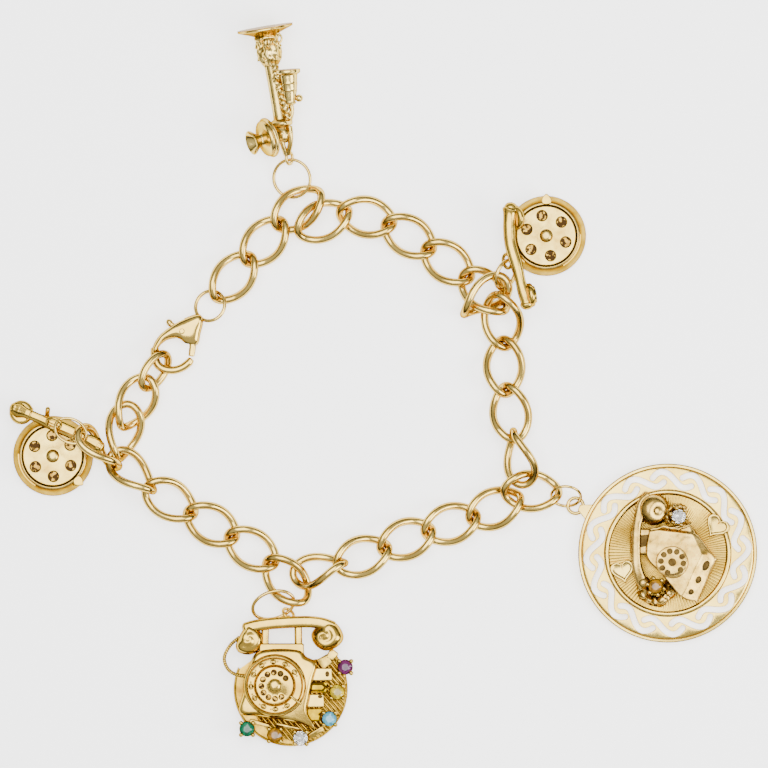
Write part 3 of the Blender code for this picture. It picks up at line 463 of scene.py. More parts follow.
chain = {
    "halfLong": 3.925, "halfShort": 2.5, "wire": 1.12, "twist": 40.0, "steps": 88, "sides": 18,
    "route": [  # x, y, z in mm, heading, pitch and roll in degrees
        (-21.42, 15.15, 1.40, 50, 0, 0), (-17.06, 20.18, 1.49, 48, 1, 0), (-12.30, 24.85, 1.65, 37, -1, -5),
        (-8.70, 23.18, 1.86, 25, -7, -6), (-2.53, 23.68, 1.51, -13, -3, 1), (3.46, 20.95, 1.50, -32, -2, 0),
        (8.98, 17.21, 1.46, -36, 0, -4), (14.20, 13.09, 1.68, -42, 2, -15), (14.24, 12.35, 2.81, 40, 11, 44),
        (16.72, 8.97, 2.11, -78, -16, 4), (16.97, 2.47, 1.61, -88, 5, 0), (17.84, -4.10, 2.10, -79, 6, 8),
        (19.07, -10.50, 2.48, -78, -8, 51), (20.81, -15.19, 1.67, 178, 5, 3), (15.68, -17.62, 1.50, 204, -2, 8),
        (9.40, -19.84, 1.51, 198, 1, 2), (3.09, -22.02, 1.73, 201, 4, 1), (-3.14, -24.40, 2.30, 201, 6, 8),
        (-9.33, -26.30, 2.29, 194, -18, 48), (-13.92, -27.82, 1.81, 132, -1, -3), (-18.85, -23.43, 1.56, 147, 0, 1),
        (-24.54, -19.92, 1.61, 150, 2, -1), (-30.33, -16.48, 2.09, 150, 7, 12), (-35.70, -12.51, 2.49, 138, -4, 43),
        (-40.56, -9.20, 3.43, 135, 19, 76), (-36.96, -6.73, 2.18, 80, 0, 32), (-35.32, -2.63, 2.02, 62, 2, 21),
    ],
    "rings": [  # name, x, y, z, heading, pitch, roll, half length, half width, wire
        ("link_28", -32.57, 1.84, 1.81, 54, -12, 45, 2.85, 1.85, 1.08),
        ("ring_clasp", -24.74, 11.09, 1.38, 50, 1, -25, 2.2, 2.2, 0.5),
        ("ring_candlestick", -13.14, 29.15, 1.12, 3, 17, 8, 2.7, 2.7, 0.45),
        ("ring_round_right", 17.19, 15.53, 3.14, 75, 12, 53, 2.1, 2.1, 0.6),
        ("ring_disc", 25.74, -15.92, 1.70, 6, 11, 47, 2.1, 2.1, 0.42),
        ("ring_desk", -15.77, -31.35, 1.85, 17, -1, 25, 3.0, 2.1, 0.5),
        ("ring_round_left", -44.44, -6.63, 4.89, -24, -1, 10, 2.3, 1.7, 0.42),
    ],
}


def curbPath():
    # (a cos t, b sin t cos w, b sin t sin w) with the twist w = -twist cos t
    t = np.linspace(0, 2 * np.pi, chain["steps"], endpoint=False)
    w = -np.radians(chain["twist"]) * np.cos(t)
    side = chain["halfShort"] * np.sin(t)
    return np.stack([chain["halfLong"] * np.cos(t), side * np.cos(w), side * np.sin(w)], -1)


def makeChain():
    # one curb link's sweep placed along the route, then the odd link and the jump rings
    shape = sweep(curbPath(), chain["wire"] / 2, sides=chain["sides"], closed=True)
    for number, (x, y, z, heading, pitch, roll) in enumerate(chain["route"], 1):
        name = "link_%02d" % number
        patch = placed(shape, turnMatrix(heading, pitch, roll), (x, y, z))
        addPiece("fine_" + name, [patch], chainGold, name)
    for name, x, y, z, heading, pitch, roll, halfLong, halfWide, wire in chain["rings"]:
        patch = placed(torus(halfLong, halfWide, wire, 72, 16), turnMatrix(heading, pitch, roll), (x, y, z))
        addPiece("fine_" + name, [patch], chainGold, name)


bails = {  # x, y, z, heading, pitch, roll, half length, half width, wire
    "candlestick": (-13.50, 32.06, 1.50, 90, 0, 60, 0.85, 0.85, 0.45),
    "right": (17.40, 17.40, 3.90, -80, 0, 45, 1.0, 0.8, 0.5),
    "left": (-46.82, -5.58, 4.95, -23, 0, 45, 1.05, 1.0, 0.42),
    "disc": (27.11, -17.27, 0.65, 0, 0, 0, 1.1, 1.1, 0.5),
    "desk": (-13.63, -32.59, 1.20, 138, 0, 56, 0.9, 0.9, 0.45),
}


def bail(name):
    # the small fixed ring on a charm
    x, y, z, heading, pitch, roll, halfLong, halfWide, wire = bails[name]
    return placed(torus(halfLong, halfWide, wire, 40, 12), turnMatrix(heading, pitch, roll), (x, y, z))


makeChain()
print("chain and rings made")


def inFrame(patches, at, matrix=np.eye(3), base=(0, 0, 0)):
    # charm patches carried from the charm's own frame to the bracelet's: at + matrix (point + base)
    return [placed(patch, matrix, np.array(at) + matrix @ np.array(base, float)) for patch in patches]


def cylinder(radius, low, high, at=(0, 0), steps=32, flare=0.0):
    # a straight cutter whose upper end may flare by a small chamfer
    profile = [(0, low), (radius, low), (radius, high - 1.5 * flare), (radius + flare, high - 0.5 * flare),
               (radius + flare, high + 0.5), (0, high + 0.5)]
    return placed(turned(profile, steps), at=(at[0], at[1], 0))


def cast(patch, amount, waves):
    # hand-finished casting: each point is pushed by amount * sin(waves * its other two coordinates)
    points, faces = patch
    x, y, z = (points * waves).T
    push = np.stack([np.sin(1.7 * y + 0.6) * np.cos(1.3 * z), np.sin(1.9 * z + 1.1) * np.cos(1.1 * x),
                     np.sin(1.5 * x + 2.0) * np.cos(1.7 * y)], -1)
    return points + amount * push, faces


# Clasp

lobster = {
    "at": (-30.18, 4.12, 1.4), "hinge": (1.45, 3.35), "halfThick": 1.08,
    "outline": [(3.15, 5.72), (1.14, 4.90), (-0.57, 3.83), (-1.70, 2.84), (-2.49, 1.70), (-2.84, 0.45), (-2.4, 0.1),
                (-1.98, 0.45), (-1.80, 1.1), (-1.30, 1.66), (-0.57, 2.13), (0.43, 2.34), (1.28, 2.06), (2.10, 1.42),
                (3.62, 1.42), (4.12, 3.12), (4.5, 4.9), (4.1, 5.7)],
    "spine": [(-2.3, 0.9), (-1.3, 2.5), (0.3, 3.5), (2.2, 4.0), (3.7, 4.9)],
    "hook": [(-2.38, 0.8), (-2.42, 0.2), (-2.33, -0.6), (-2.0, -1.35), (-1.35, -1.9), (-0.43, -2.14), (0.6, -2.1),
             (1.6, -1.72), (2.35, -1.15), (2.7, -0.72)],
    "pocket": [(3.45, 0.6), (3.45, 2.6), (2.75, 4.2), (1.95, 4.95), (1.3, 5.7), (-0.55, 6.0), (-1.9, 4.8), (-1.75, 3.3),
               (-0.1, 2.8), (0.7, 2.2), (0.7, 0.6)],
    "arm": [(-1.6, 1.05), (-0.2, 0.1), (0.35, 0.0), (1.1, -0.75), (1.5, -1.9), (1.35, -3.4)],
    "hookHalf": ([0, 0.2, 0.9, 1], [0.62, 0.58, 0.56, 0.5]),    # half width along the hook
    "armHalf": ([0, 0.3, 0.5, 0.9, 1], [0.36, 0.4, 0.46, 0.48, 0.44]),
    "pin": [(0, 1.03), (0.28, 1.02), (0.385, 0.98), (0.385, -0.98), (0.28, -1.02), (0, -1.03)],
    "boreRadius": 0.4, "tunnelRadius": 0.47, "ringRow": 1, "ringAngle": 177,    # where its ring goes through
}


def makeClasp():
    # a swollen shell, less the lever's slot, the pin's bore and the ring's hole; a swept hook; the lever with its pin
    at = np.array(lobster["at"])
    hinge = at + np.array((*lobster["hinge"], 0))
    shell = pillow(smoothOutline(lobster["outline"], 120), lobster["spine"], lobster["halfThick"], 12, 0.42)
    claspBody = meshPiece("lobster_body", [placed(shell, at=at)], claspGold)
    ring = chain["rings"][lobster["ringRow"]]
    place, turn, halfLong = np.array(ring[1:4]), turnMatrix(*ring[4:7]), ring[7]
    through = math.radians(lobster["ringAngle"])
    spot = place + turn @ np.array(polar(1, through)) * halfLong
    way = turn @ np.array(polar(1, through + math.pi / 2))
    side = unit(np.cross(way, (0, 0, 1)))
    tunnel = placed(cylinder(lobster["tunnelRadius"], -2, 2), np.stack([side, np.cross(way, side), way], -1), spot)
    slot = placed(slab(lobster["pocket"], -0.5, 0.5, 0.02, 2), at=at)
    bore = placed(cylinder(lobster["boreRadius"], -2, 2), at=hinge)
    for cutter in (slot, bore, tunnel):
        carve(claspBody, [cutter])
    settle(claspBody, "clasp_body")
    line = rounded([(px, py, 0) for px, py in lobster["hook"]], 50)
    width = np.interp(np.linspace(0, 1, 50), *lobster["hookHalf"])
    addPiece("lobster_hook", [sweep(line + at, width, width, 20)], claspGold)
    arm = rounded([(px, py, 0) for px, py in lobster["arm"]], 44)
    half = np.interp(np.linspace(0, 1, 44), *lobster["armHalf"])
    nub = placed(placed(ball(0.62, 1.0, 24), np.diag([0.95, 0.72, 0.6])), turnMatrix(125), (-1.75, 1.2, 0))
    lever = inFrame([sweep(arm, half, np.full(44, 0.34), 20, square=0.4), turned(lobster["pin"], 24), nub], hinge)
    addPiece("lobster_lever", lever, claspGold, "clasp_lever", "clasp_lever")


makeClasp()
print("clasp made")


def brilliant():
    # a round brilliant of radius 1 mm: an octagon table, a ring of star points, sixteen girdle points and a
    # pointed pavilion
    a = np.radians(np.arange(8) * 45.0)
    half = np.radians(np.arange(8) * 45.0 + 22.5)
    rim = np.radians(np.arange(16) * 22.5)
    table, stars, pavilion = around(0.5, a, 0.36), around(0.78, half, 0.235), around(0.45, half, -0.42)
    points = np.vstack([table, stars, around(1.0, rim, 0.04), around(1.0, rim, -0.03), pavilion, [[0, 0, -0.72]]])
    n, m = np.arange(8), np.arange(16)
    following = (n + 1) % 8
    faces = [np.arange(8)[None],
             np.stack([n, 8 + n, following], -1),
             np.stack([n, 16 + 2 * n, 8 + n], -1), np.stack([n, 8 + (n - 1) % 8, 16 + 2 * n], -1),
             np.stack([8 + n, 16 + 2 * n, 17 + 2 * n], -1), np.stack([8 + n, 17 + 2 * n, 16 + 2 * following], -1),
             np.stack([16 + m, 32 + m, 32 + (m + 1) % 16, 16 + (m + 1) % 16], -1),
             np.stack([32 + 2 * n, 48 + n, 33 + 2 * n], -1), np.stack([33 + 2 * n, 48 + n, 32 + 2 * following], -1),
             np.stack([32 + 2 * n, 48 + (n - 1) % 8, 48 + n], -1),
             np.stack([48 + n, 48 + (n - 1) % 8, np.full(8, 56)], -1)]
    return points, faces


# cut gems that look deep and saturated over gold, since only a small share of the light passes through them; the
# clear one is bright and glassy
stoneLook = {  # body colour, index of refraction, real gem, share of light that passes
    "clear": ("#FFFEFA", 1.77, "whiteSapphire", 0.85), "orange": ("#A06E00", 1.62, "citrine", 0.1),
    "purple": ("#6E1E5C", 1.54, "amethyst", 0.2), "yellow": ("#DABC00", 1.62, "yellowTopaz", 0.0),
    "blue": ("#62BEDC", 1.62, "blueTopaz", 0.2), "green": ("#006E48", 1.58, "emerald", 0.1),
}
stoneMaterials = {key: makeStone(row[2], row[0], row[1], row[3]) for key, row in stoneLook.items()}


def setting(place, base, claws=4):
    # a cone cup with claws whose ends lap the girdle as beads
    x, y, top = place
    cup = turned([(0, top - 0.95), (0.35, top - 0.85), (0.9, top - 0.3), (1.06, top - 0.22), (1.1, top - 0.34),
                  (1.02, top - 0.6), (0.7, base), (0, base)], 32)
    patches = [placed(cup, at=(x, y, 0))]
    for n in range(claws):
        turn = 2 * math.pi * n / claws + math.pi / 4
        line = [polar(r, turn, (x, y), top + z) for r, z in ((0.95, -0.9), (1.22, -0.3), (1.27, 0.05))]
        patches.append(sweep(rounded(line, 10), 0.24, sides=12))
        patches.append(placed(ball(0.32, 0.9, 14), at=polar(1.2, turn, (x, y), top + 0.12)))
    return patches


def placeStone(name, colour, place, at, turn):
    # a flat-faceted brilliant of radius 1 mm in its setting
    patch = placed(brilliant(), turnMatrix(turn), place)
    piece = meshPiece("cut_" + name, inFrame([patch], at), stoneMaterials[colour], smooth=False)
    settle(piece, name)


def holeTurns(first, step, count):
    # first + step n, in radians: the ring of finger holes in a dial
    return np.radians(first + step * np.arange(count))


def dialHoles(turns, circle, radius, low, high, steps, flare, centre=(0, 0)):
    # a cutter for each finger hole
    return [cylinder(radius, low, high, polar(circle, turn, centre), steps, flare) for turn in turns]


def holeShadeRings(turns, circle, radius, wire, high, count, centre=(0, 0)):
    # painted shade: a dark ring round the bottom of each finger hole
    return [placed(torus(radius, radius, wire, count, 8), at=polar(circle, turn, centre, high)) for turn in turns]


def twistedCord(path, radius, strand, turns, count=90):
    # two strands wound about a path: path + radius (cos a side + sin a normal), a = 2 pi turns s
    middle = rounded(path, count)
    tangent = unit(np.gradient(middle, axis=0))
    side = unit(np.cross(tangent, (0.1, 0.2, 1.0)))
    normal = np.cross(side, tangent)
    a = 2 * np.pi * turns * np.linspace(0, 1, count)[:, None]
    lines = [middle + radius * (np.cos(a + b) * side + np.sin(a + b) * normal) for b in (0, np.pi)]
    return [sweep(line, strand, sides=8) for line in lines]


# Candlestick telephone

stand = {
    "at": (-16.96, 50.56, 3.95 * math.cos(math.radians(4.5))), "tilt": 94.5, "turn": 9.4,
    "foot": [(0, 0), (3.7, 0.0), (3.9, 0.08), (3.95, 0.2), (3.9, 0.34), (3.3, 0.58), (2.4, 0.9), (1.7, 1.2),
             (1.3, 1.5)],
    "leafy": [(1.3, 1.0), (1.75, 1.5), (1.35, 2.1), (1.6, 3.0), (1.75, 3.7), (1.5, 4.7), (1.15, 5.3), (0.95, 5.6)],
    "column": [(0.95, 5.3), (0.9, 8.0), (0.88, 11.0), (0.92, 13.5)],
    "collar": [(0.9, 13.2), (1.35, 13.45), (1.58, 13.65), (1.6, 13.95), (1.45, 14.2), (1.1, 14.35), (1.2, 14.7),
               (1.4, 15.2), (1.35, 15.9), (1.0, 16.45), (0.5, 16.65), (0, 16.7)],
    "mouth": [(0, -0.2), (0.8, -0.2), (0.9, 0.45), (1.4, 0.68), (2.4, 0.74), (2.76, 0.9), (2.88, 1.15), (2.82, 1.36),
              (2.6, 1.46), (2.62, 1.62), (2.5, 1.92), (2.1, 2.1), (1.5, 2.22), (1.06, 2.4), (0.92, 2.66), (1.1, 3.1),
              (1.5, 3.55), (1.74, 3.9), (1.66, 4.02), (1.45, 3.85), (1.0, 3.3), (0.6, 2.95), (0, 2.9)],
    "receiver": [(0, 0), (1.6, 0.0), (1.76, 0.15), (1.78, 0.4), (1.62, 0.62), (1.36, 0.75), (1.28, 1.2), (1.2, 1.9),
                 (1.28, 2.0), (1.22, 2.14), (1.1, 2.9), (1.17, 3.02), (1.08, 3.16), (0.9, 4.1), (0.78, 4.6),
                 (0.88, 4.78), (0.72, 4.95), (0.4, 5.1), (0, 5.15)],
    "vine": [(0.35, 0.8, 5.0), (0.5, 0.85, 6.2), (0.45, 0.95, 7.6), (0.7, 0.95, 9.2), (0.9, 0.85, 10.6),
             (1.05, 0.75, 12.0), (1.2, 0.6, 13.4)],
    "rods": [  # points, steps, half width: the switch hook, the receiver's hanger, two arms at the top and a root
        ([(3.0, 0.6, 10.6), (2.4, 0.6, 10.65), (1.5, 0.55, 10.8)], 0, 0.3),
        ([(1.85, 0.5, 11.0), (1.8, 0.3, 12.4), (1.2, 0.1, 13.9)], 14, 0.36),
        ([(-0.35, 0.7, 15.6), (-0.2, 0.3, 16.9), (0.0, -0.3, 18.3)], 14, 0.36),
        ([(1.2, 0.8, 14.5), (1.15, 0.95, 15.5), (0.85, 0.6, 16.9), (0.3, -0.1, 18.3)], 18, 0.36),
        ([(1.2, 0.9, 1.0), (1.9, 0.9, 1.3), (2.1, 0.8, 2.0), (1.6, 0.8, 2.7)], 16, 0.16),
    ],
    "leaves": 14, "knots": 5, "buds": 6,
}


def leafShape(length, width, curl):
    # a leaf: half width w sin(pi s)^0.7, vein groove along the middle, tip curled outwards by s squared
    s = np.linspace(0.02, 1, 16)[:, None]
    v = np.linspace(-1, 1, 9)[None, :]
    x = width * np.sin(np.pi * np.minimum(s * 0.96 + 0.02, 1)) ** 0.7 * v
    z = length * s + 0 * v
    y = curl * s ** 2 + 0.22 * (1 - np.abs(v)) ** 0.5 * (1 - 0.6 * np.exp(-(v / 0.15) ** 2)) + 0 * s
    front = np.stack([x, y, z], -1)
    back = np.stack([x, y * 0 + curl * s ** 2 - 0.15, z], -1)
    both = np.concatenate([front, back[:, ::-1]], 1)
    points, faces = gridPatch(both, False, True)
    rows = both.shape[1]
    count = len(points)
    return points, faces + [np.arange(rows)[None], np.arange(count - rows, count)[None, ::-1]]


def makeCandlestick():
    # turned foot, column, receiver and mouthpiece with swept rods; leaves, knots and a vine cast round them
    at, matrix = stand["at"], turnMatrix(stand["turn"]) @ turnMatrix(0, 0, stand["tilt"])
    smooth = [turned(stand["foot"], 64, 40), turned(stand["column"], 32, 12),
              placed(turned(stand["receiver"], 40, 70), turnMatrix(0, 5), (2.2, 0.8, 6.4)),
              placed(turned(stand["mouth"], 56, 90), turnMatrix(-24, 84), (-0.95, 0, 15.4)),
              placed(ball(0.55, 1, 20), at=(3.15, 0.8, 10.7))]
    smooth += [sweep(rounded(line, steps) if steps else line, half) for line, steps, half in stand["rods"]]
    rough = [cast(turned(stand["leafy"], 72, 50, 7, np.full(50, 0.08)), 0.07, 3.1),
             cast(turned(stand["collar"], 48, 44, 5, np.full(44, 0.05)), 0.05, 2.7)]
    for n in range(stand["leaves"]):
        row = n // 7    # two rows of seven
        leaf = leafShape(1.7, 0.55, 0.28 + 0.1 * (n % 3))
        leaf = placed(leaf, at=(0, 1.35 - 0.1 * row, 1.2 + 1.7 * row + 0.2 * (n % 2)))
        rough.append(cast(placed(leaf, turnMatrix(360 * n / 7 + 25 * row)), 0.05, 4.0))
    for n in range(stand["knots"]):
        knot = placed(ball(0.42, 1.3, 12), at=polar(1.05, math.radians(70 * n + 20), high=15.0 + 0.3 * (n % 3)))
        rough.append(cast(knot, 0.06, 3.7))
    rough += twistedCord(stand["vine"], 0.3, 0.32, 4.5)
    for n in range(stand["buds"]):
        spot = rounded(stand["vine"], 101)[int(100 * (n + 0.5) / stand["buds"])]
        turn = turnMatrix(0, 0, -20) @ turnMatrix(-50 if n % 2 else 50)
        rough.append(placed(leafShape(0.9, 0.32, 0.1), turn, spot + np.array((0, 0.12, -0.2))))
    smooth = inFrame(smooth, at, matrix) + [bail("candlestick")]
    # painted light: the candlestick is made in a lighter copy of the gold that lifts its shade
    addPiece("candlestick_smooth", smooth, candlestickLightGold, "candlestick")
    addPiece("candlestick_cast", inFrame(rough, at, matrix), candlestickLightGold)


# Round desk telephones

rounds = {
    "profile": [(3.7, 1.92), (4.3, 1.94), (4.4, 2.0), (4.4, 2.62), (4.46, 2.7), (4.66, 2.69), (4.78, 2.6), (4.86, 2.2),
                (4.98, 1.8), (5.25, 1.2), (5.55, 0.82), (5.68, 0.55), (5.66, 0.28), (5.45, 0.06), (5.2, 0.0), (0, 0.0)],
    "tab": [(4.5, -0.5), (5.2, -0.72), (5.95, 0.0), (5.2, 0.62), (4.5, 0.45)],
    "bands": [(70, 130, 4.86), (200, 262, 4.84)],    # start, end and radius of two worn bands on the rim
    "card": [(0.6, 1.95), (0.6, 1.99), (2.0, 2.0), (3.8, 2.0), (3.82, 1.93)],
    "wheel": [(0, 0.98), (0.3, 1.0), (0.62, 0.93), (0.82, 0.74), (0.9, 0.6), (0.94, 0.55), (1.1, 0.53), (1.2, 0.56),
              (3.9, 0.55), (4.1, 0.54), (4.2, 0.44), (4.2, 0.0), (0.45, 0.0), (0.45, -1.05), (0, -1.05)],
    "wheelHigh": 2.15, "holes": 6, "holeCircle": 2.9, "holeRadius": 0.78, "holeShadeRadius": 0.74,
    "right": {"at": (22.93, 21.02, 0), "heading": 100, "dial": 2, "stop": -10},
    "left": {"at": (-47.03, -10.20, 0), "heading": -23, "dial": 55, "stop": -21},
}


def makeRoundPhone(side, handset):
    # a turned drum with a stop tab and worn bands, its handset, the old number card, and the pierced wheel that turns
    row = rounds[side]
    phone, dial = "round_%s_phone" % side, "round_%s_dial" % side
    at, matrix = row["at"], turnMatrix(row["heading"])
    turns = holeTurns(row["dial"], 360.0 / rounds["holes"], rounds["holes"])
    patches = [placed(slab(smoothOutline(rounds["tab"], 40), 2.1, 2.94, 0.12, 4), turnMatrix(row["stop"]))]
    for start, end, radius in rounds["bands"]:
        t = np.radians(np.linspace(start, end, 30))
        patches.append(sweep(around(radius, t, 2.55), 0.17, 0.24, 10))
    # painted shade: the drum is made in the darker tan copy of the gold
    addPiece("round_%s_drum" % side, inFrame([turned(rounds["profile"], 96)], at, matrix), drumShadeGold, phone)
    addPiece("round_%s_handset" % side, inFrame(patches + handset, at, matrix) + [bail(side)], charmGold)
    addPiece("round_%s_card" % side, inFrame([turned(rounds["card"], 96)], at, matrix), cardGold)
    base = (0, 0, rounds["wheelHigh"])
    wheel = meshPiece("round_%s_wheel" % side, inFrame([turned(rounds["wheel"], 96)], at, matrix, base), plateGold)
    for hole in dialHoles(turns, rounds["holeCircle"], rounds["holeRadius"], -0.5, 0.57, 36, 0.06):
        carve(wheel, inFrame([hole], at, matrix, base))
    settle(wheel, dial, dial)
    # painted shade: dark rings round the bottom of each finger hole
    holeShade = holeShadeRings(turns, rounds["holeCircle"], rounds["holeShadeRadius"], 0.14, 2.23, 28)
    addPiece("round_%s_grime" % side, inFrame(holeShade, at, matrix), stainAndShadeGold, rider=dial)


def handsetCup(radius, depth):
    # a turned cup: each profile point is a share of its radius and of its depth
    return turned([(0, 0), (radius * 0.72, 0.0), (radius * 0.9, 0.08), (radius, 0.3), (radius, depth * 0.55),
                   (radius * 0.93, depth * 0.72), (radius * 0.75, depth * 0.8), (radius * 0.7, depth),
                   (radius * 0.5, depth), (radius * 0.4, depth * 0.9), (0, depth * 0.85)], 40)


handsets = {
    "right": {
        "line": [(4.7, 4.3, 4.95), (3.97, 4.56, 4.95), (1.8, 5.0, 4.95), (-0.37, 5.2, 4.95), (-3.33, 4.9, 4.95),
                 (-6.24, 4.7, 4.8), (-8.45, 4.44, 4.6), (-9.0, 4.4, 4.55)],
        "half": ([0, 0.06, 0.14, 0.3, 0.45, 0.7, 0.85, 1], [0.95, 1.1, 1.0, 0.86, 0.92, 0.78, 0.86, 0.95]),
    },
    "left": {
        "line": [(-7.5, 4.1, 3.6), (-6.4, 4.15, 3.6), (-5.0, 4.15, 3.6), (-2.5, 4.15, 3.6), (0.5, 4.15, 3.6),
                 (3.0, 4.1, 3.6), (4.6, 4.0, 3.45), (5.6, 3.85, 3.3)],
        "half": ([0, 0.08, 0.2, 0.35, 0.5, 0.62, 0.7, 0.82, 0.92, 1],
                 [0.9, 1.1, 0.72, 0.66, 0.92, 0.85, 0.62, 0.95, 1.05, 0.8]),
        "bands": [((-5.2, 4.15, 3.6), 0.86, 0.26), ((1.6, 4.12, 3.6), 0.92, 0.24), ((3.1, 4.08, 3.58), 0.86, 0.22)],
        "posts": [[(-2.0, 4.3, 1.8), (-2.0, 4.2, 3.4)], [(2.0, 4.3, 1.8), (2.0, 4.2, 3.4)],
                  [(-2.7, 4.2, 1.8), (-3.0, 5.1, 3.0), (-3.2, 5.9, 4.2)]],
    },
}


def rightHandset():
    # a bar whose half width waves slightly by 1 + 0.05 sin 26 s, two cups and two posts
    row = handsets["right"]
    s = np.linspace(0, 1, 90)
    width = np.interp(s, *row["half"]) * (1 + 0.05 * np.sin(s * 26))
    patches = [sweep(rounded(row["line"], 90), width, width * 0.9, 28, square=0.2, caps=1.0),
               placed(handsetCup(1.75, 1.2), turnMatrix(0, 0, 128), (3.3, 4.3, 4.7)),
               placed(handsetCup(1.7, 1.2), turnMatrix(0, 0, 100), (-7.9, 4.2, 4.4))]
    for x in (-2.0, 2.0):
        patches.append(sweep(rounded([(x, 4.4, 1.8), (x * 1.02, 4.75, 3.3), (x, 4.9, 4.6)], 14), 0.34))
    return patches


def torusAt(place, radius, wire):
    # a raised band around a bar that lies along x
    t = np.linspace(0, 2 * np.pi, 32, endpoint=False)
    path = np.stack([0 * t, radius * np.cos(t), radius * np.sin(t)], -1) + np.array(place)
    return sweep(path, wire / 2, sides=10, closed=True, up=(1, 0, 0))


def leftHandset():
    # a fluted bar with one cup, three bands, three posts and a loose bead
    row = handsets["left"]
    width = np.interp(np.linspace(0, 1, 120), *row["half"])
    bar = sweep(rounded(row["line"], 120), width, width * 0.9, 45, square=0.2, flutes=9, fluteDepth=0.06, caps=1.0)
    patches = [bar, placed(handsetCup(1.7, 1.3), turnMatrix(0, 0, 168), (-6.5, 4.05, 3.4))]
    patches += [torusAt(*band) for band in row["bands"]]
    patches += [sweep(rounded(line, 14), 0.34) for line in row["posts"]]
    return patches + [placed(ball(0.45, 1, 16), at=(4.6, -2.4, 1.7))]


makeCandlestick()
print("candlestick made")
makeRoundPhone("right", rightHandset())
makeRoundPhone("left", leftHandset())
print("round telephones made")

# Disc charm

disc = {
    "at": (40.19, -24.0, 0), "high": 3.8,
    "waves": 16, "waveOuter": 11.55, "waveInner": 9.55, "waveWidth": 0.84, "waveStart": 101.3, "waveSweep": 30.7,
    "rim": [(0, 0.9), (8.4, 1.0), (8.9, 1.1), (11.9, 1.08), (12.1, 1.0), (12.16, 1.05), (12.3, 1.19), (12.55, 1.17),
            (12.68, 1.05), (12.7, 0.9), (12.7, 0.2), (12.6, 0.04), (12.4, 0.0), (0, 0.0)],
    "ringRadius": 8.66, "ringWire": 0.78, "ringHigh": 1.18,
    "bailTab": [(-10.1, 6.9), (-12.45, 6.85), (-12.75, 6.1), (-11.4, 4.4)],
    "hearts": [(3.5, (-6.42, -2.45), 12), (3.6, (6.95, 3.85), -36)],    # width, centre, turn
    "heartRim": [(1.0, 0.9), (1.0, 1.72), (0.97, 1.86), (0.92, 1.92), (0.8, 1.92), (0.74, 1.86), (0.7, 1.6),
                 (0.62, 1.55), (0.01, 1.6)],    # share of the outline, height
    "flutes": 130, "fluteHigh": 0.05,
    "ridge": [(2.7, 5.0), (3.3, 3.0), (4.75, -0.15), (3.3, -3.2), (1.9, -6.4)],
    "block": [(-3.05, -0.43), (-2.75, 2.9), (-2.2, 3.3), (3.0, 4.3), (3.3, 3.9), (6.7, -0.6), (6.75, -1.2),
              (4.35, -6.7), (3.9, -6.8), (1.9, -6.2), (-0.9, -3.0)],
    "strap": [(-2.6, 8.0, -1.2), (-3.6, 7.0, -1.2), (-4.15, 5.0, -0.8), (-4.45, 3.3, -0.9), (-4.5, -1.1, -0.9),
              (-3.9, -3.6, -1.2), (-3.5, -4.4, -1.6)],    # z above the block's top
    "ear": [(0, 1.32), (0.3, 1.34), (0.62, 1.46), (1.0, 1.5), (1.4, 1.42), (1.75, 1.16), (2.1, 0.7), (2.25, 0.2),
            (2.15, -0.4), (1.7, -1.1), (0.9, -1.5), (0, -1.6)],
    "stones": [("clear", (1.5, 5.25, 4.2), 10), ("orange", (-1.77, -4.69, 3.2), 20)],
    "dial": (0.55, -1.25), "holeCircle": 1.6, "holes": 10, "noHole": 282,    # degrees at which no hole is cut
    "wheel": [(0, 0.5), (0.9, 0.52), (1.9, 0.52), (2.18, 0.44), (2.28, 0.3), (2.28, -0.5), (0, -0.5)],
    "slots": [(5.35, -1.75, 0.52, 0.78), (4.3, -3.75, 0.46, 0.55), (3.25, -5.45, 0.42, 0.42)],    # x, y, wide, tall
}


def waveCutter(slot):
    # an S-shaped line: radius = middle + height cos(pi (1.74 s - 0.4)), angle = start - sweep s; its ends are round
    middle = (disc["waveOuter"] + disc["waveInner"]) / 2
    height = (disc["waveOuter"] - disc["waveInner"]) / 2
    s = np.linspace(0, 1, 36)
    radius = middle + height * np.cos(np.pi * (1.74 * s - 0.4))
    turn = np.radians(disc["waveStart"] - 360 / disc["waves"] * slot - disc["waveSweep"] * s)
    line = np.stack([radius * np.cos(turn), radius * np.sin(turn)], -1)
    along = unit(np.gradient(line, axis=0))
    across = np.stack([-along[:, 1], along[:, 0]], -1)
    half = disc["waveWidth"] / 2
    rim = np.radians(np.linspace(90, -90, 8))[1:-1]
    tip = line[-1] + half * (np.sin(rim)[:, None] * across[-1] + np.cos(rim)[:, None] * along[-1])
    tail = line[0] + half * (-np.sin(rim)[:, None] * across[0] - np.cos(rim)[:, None] * along[0])
    outline = np.vstack([line + half * across, tip, (line - half * across)[::-1], tail])
    # walls lean out by a hair at the top so that the edge of each slot catches light
    levels = [(-0.5, 0.0), (0.98, 0.0), (1.09, 0.05), (1.6, 0.12)]
    return lidded([atHeight(inset(outline, -d), z) for z, d in levels])


def heartOutline(width, centre, turn):
    # x = sin t cubed, y = (13 cos t - 5 cos 2t - 2 cos 3t - cos 4t) / 16
    t = np.linspace(0, 2 * np.pi, 72, endpoint=False)
    high = (13 * np.cos(t) - 5 * np.cos(2 * t) - 2 * np.cos(3 * t) - np.cos(4 * t)) / 16
    points = np.stack([np.sin(t) ** 3, high], -1)
    return (points * width / 2) @ turnMatrix(turn)[:2, :2].T + np.array(centre)


def holeFloorShade(turns, circle, radius, high, centre):
    # painted shade at the floors of a small cast dial's holes: dark short drums a hair above their sockets
    drum = turned([(0, -0.06), (radius, -0.06), (radius, -0.02), (0, -0.02)], 20)
    return [placed(drum, at=polar(circle, turn, centre, high)) for turn in turns]


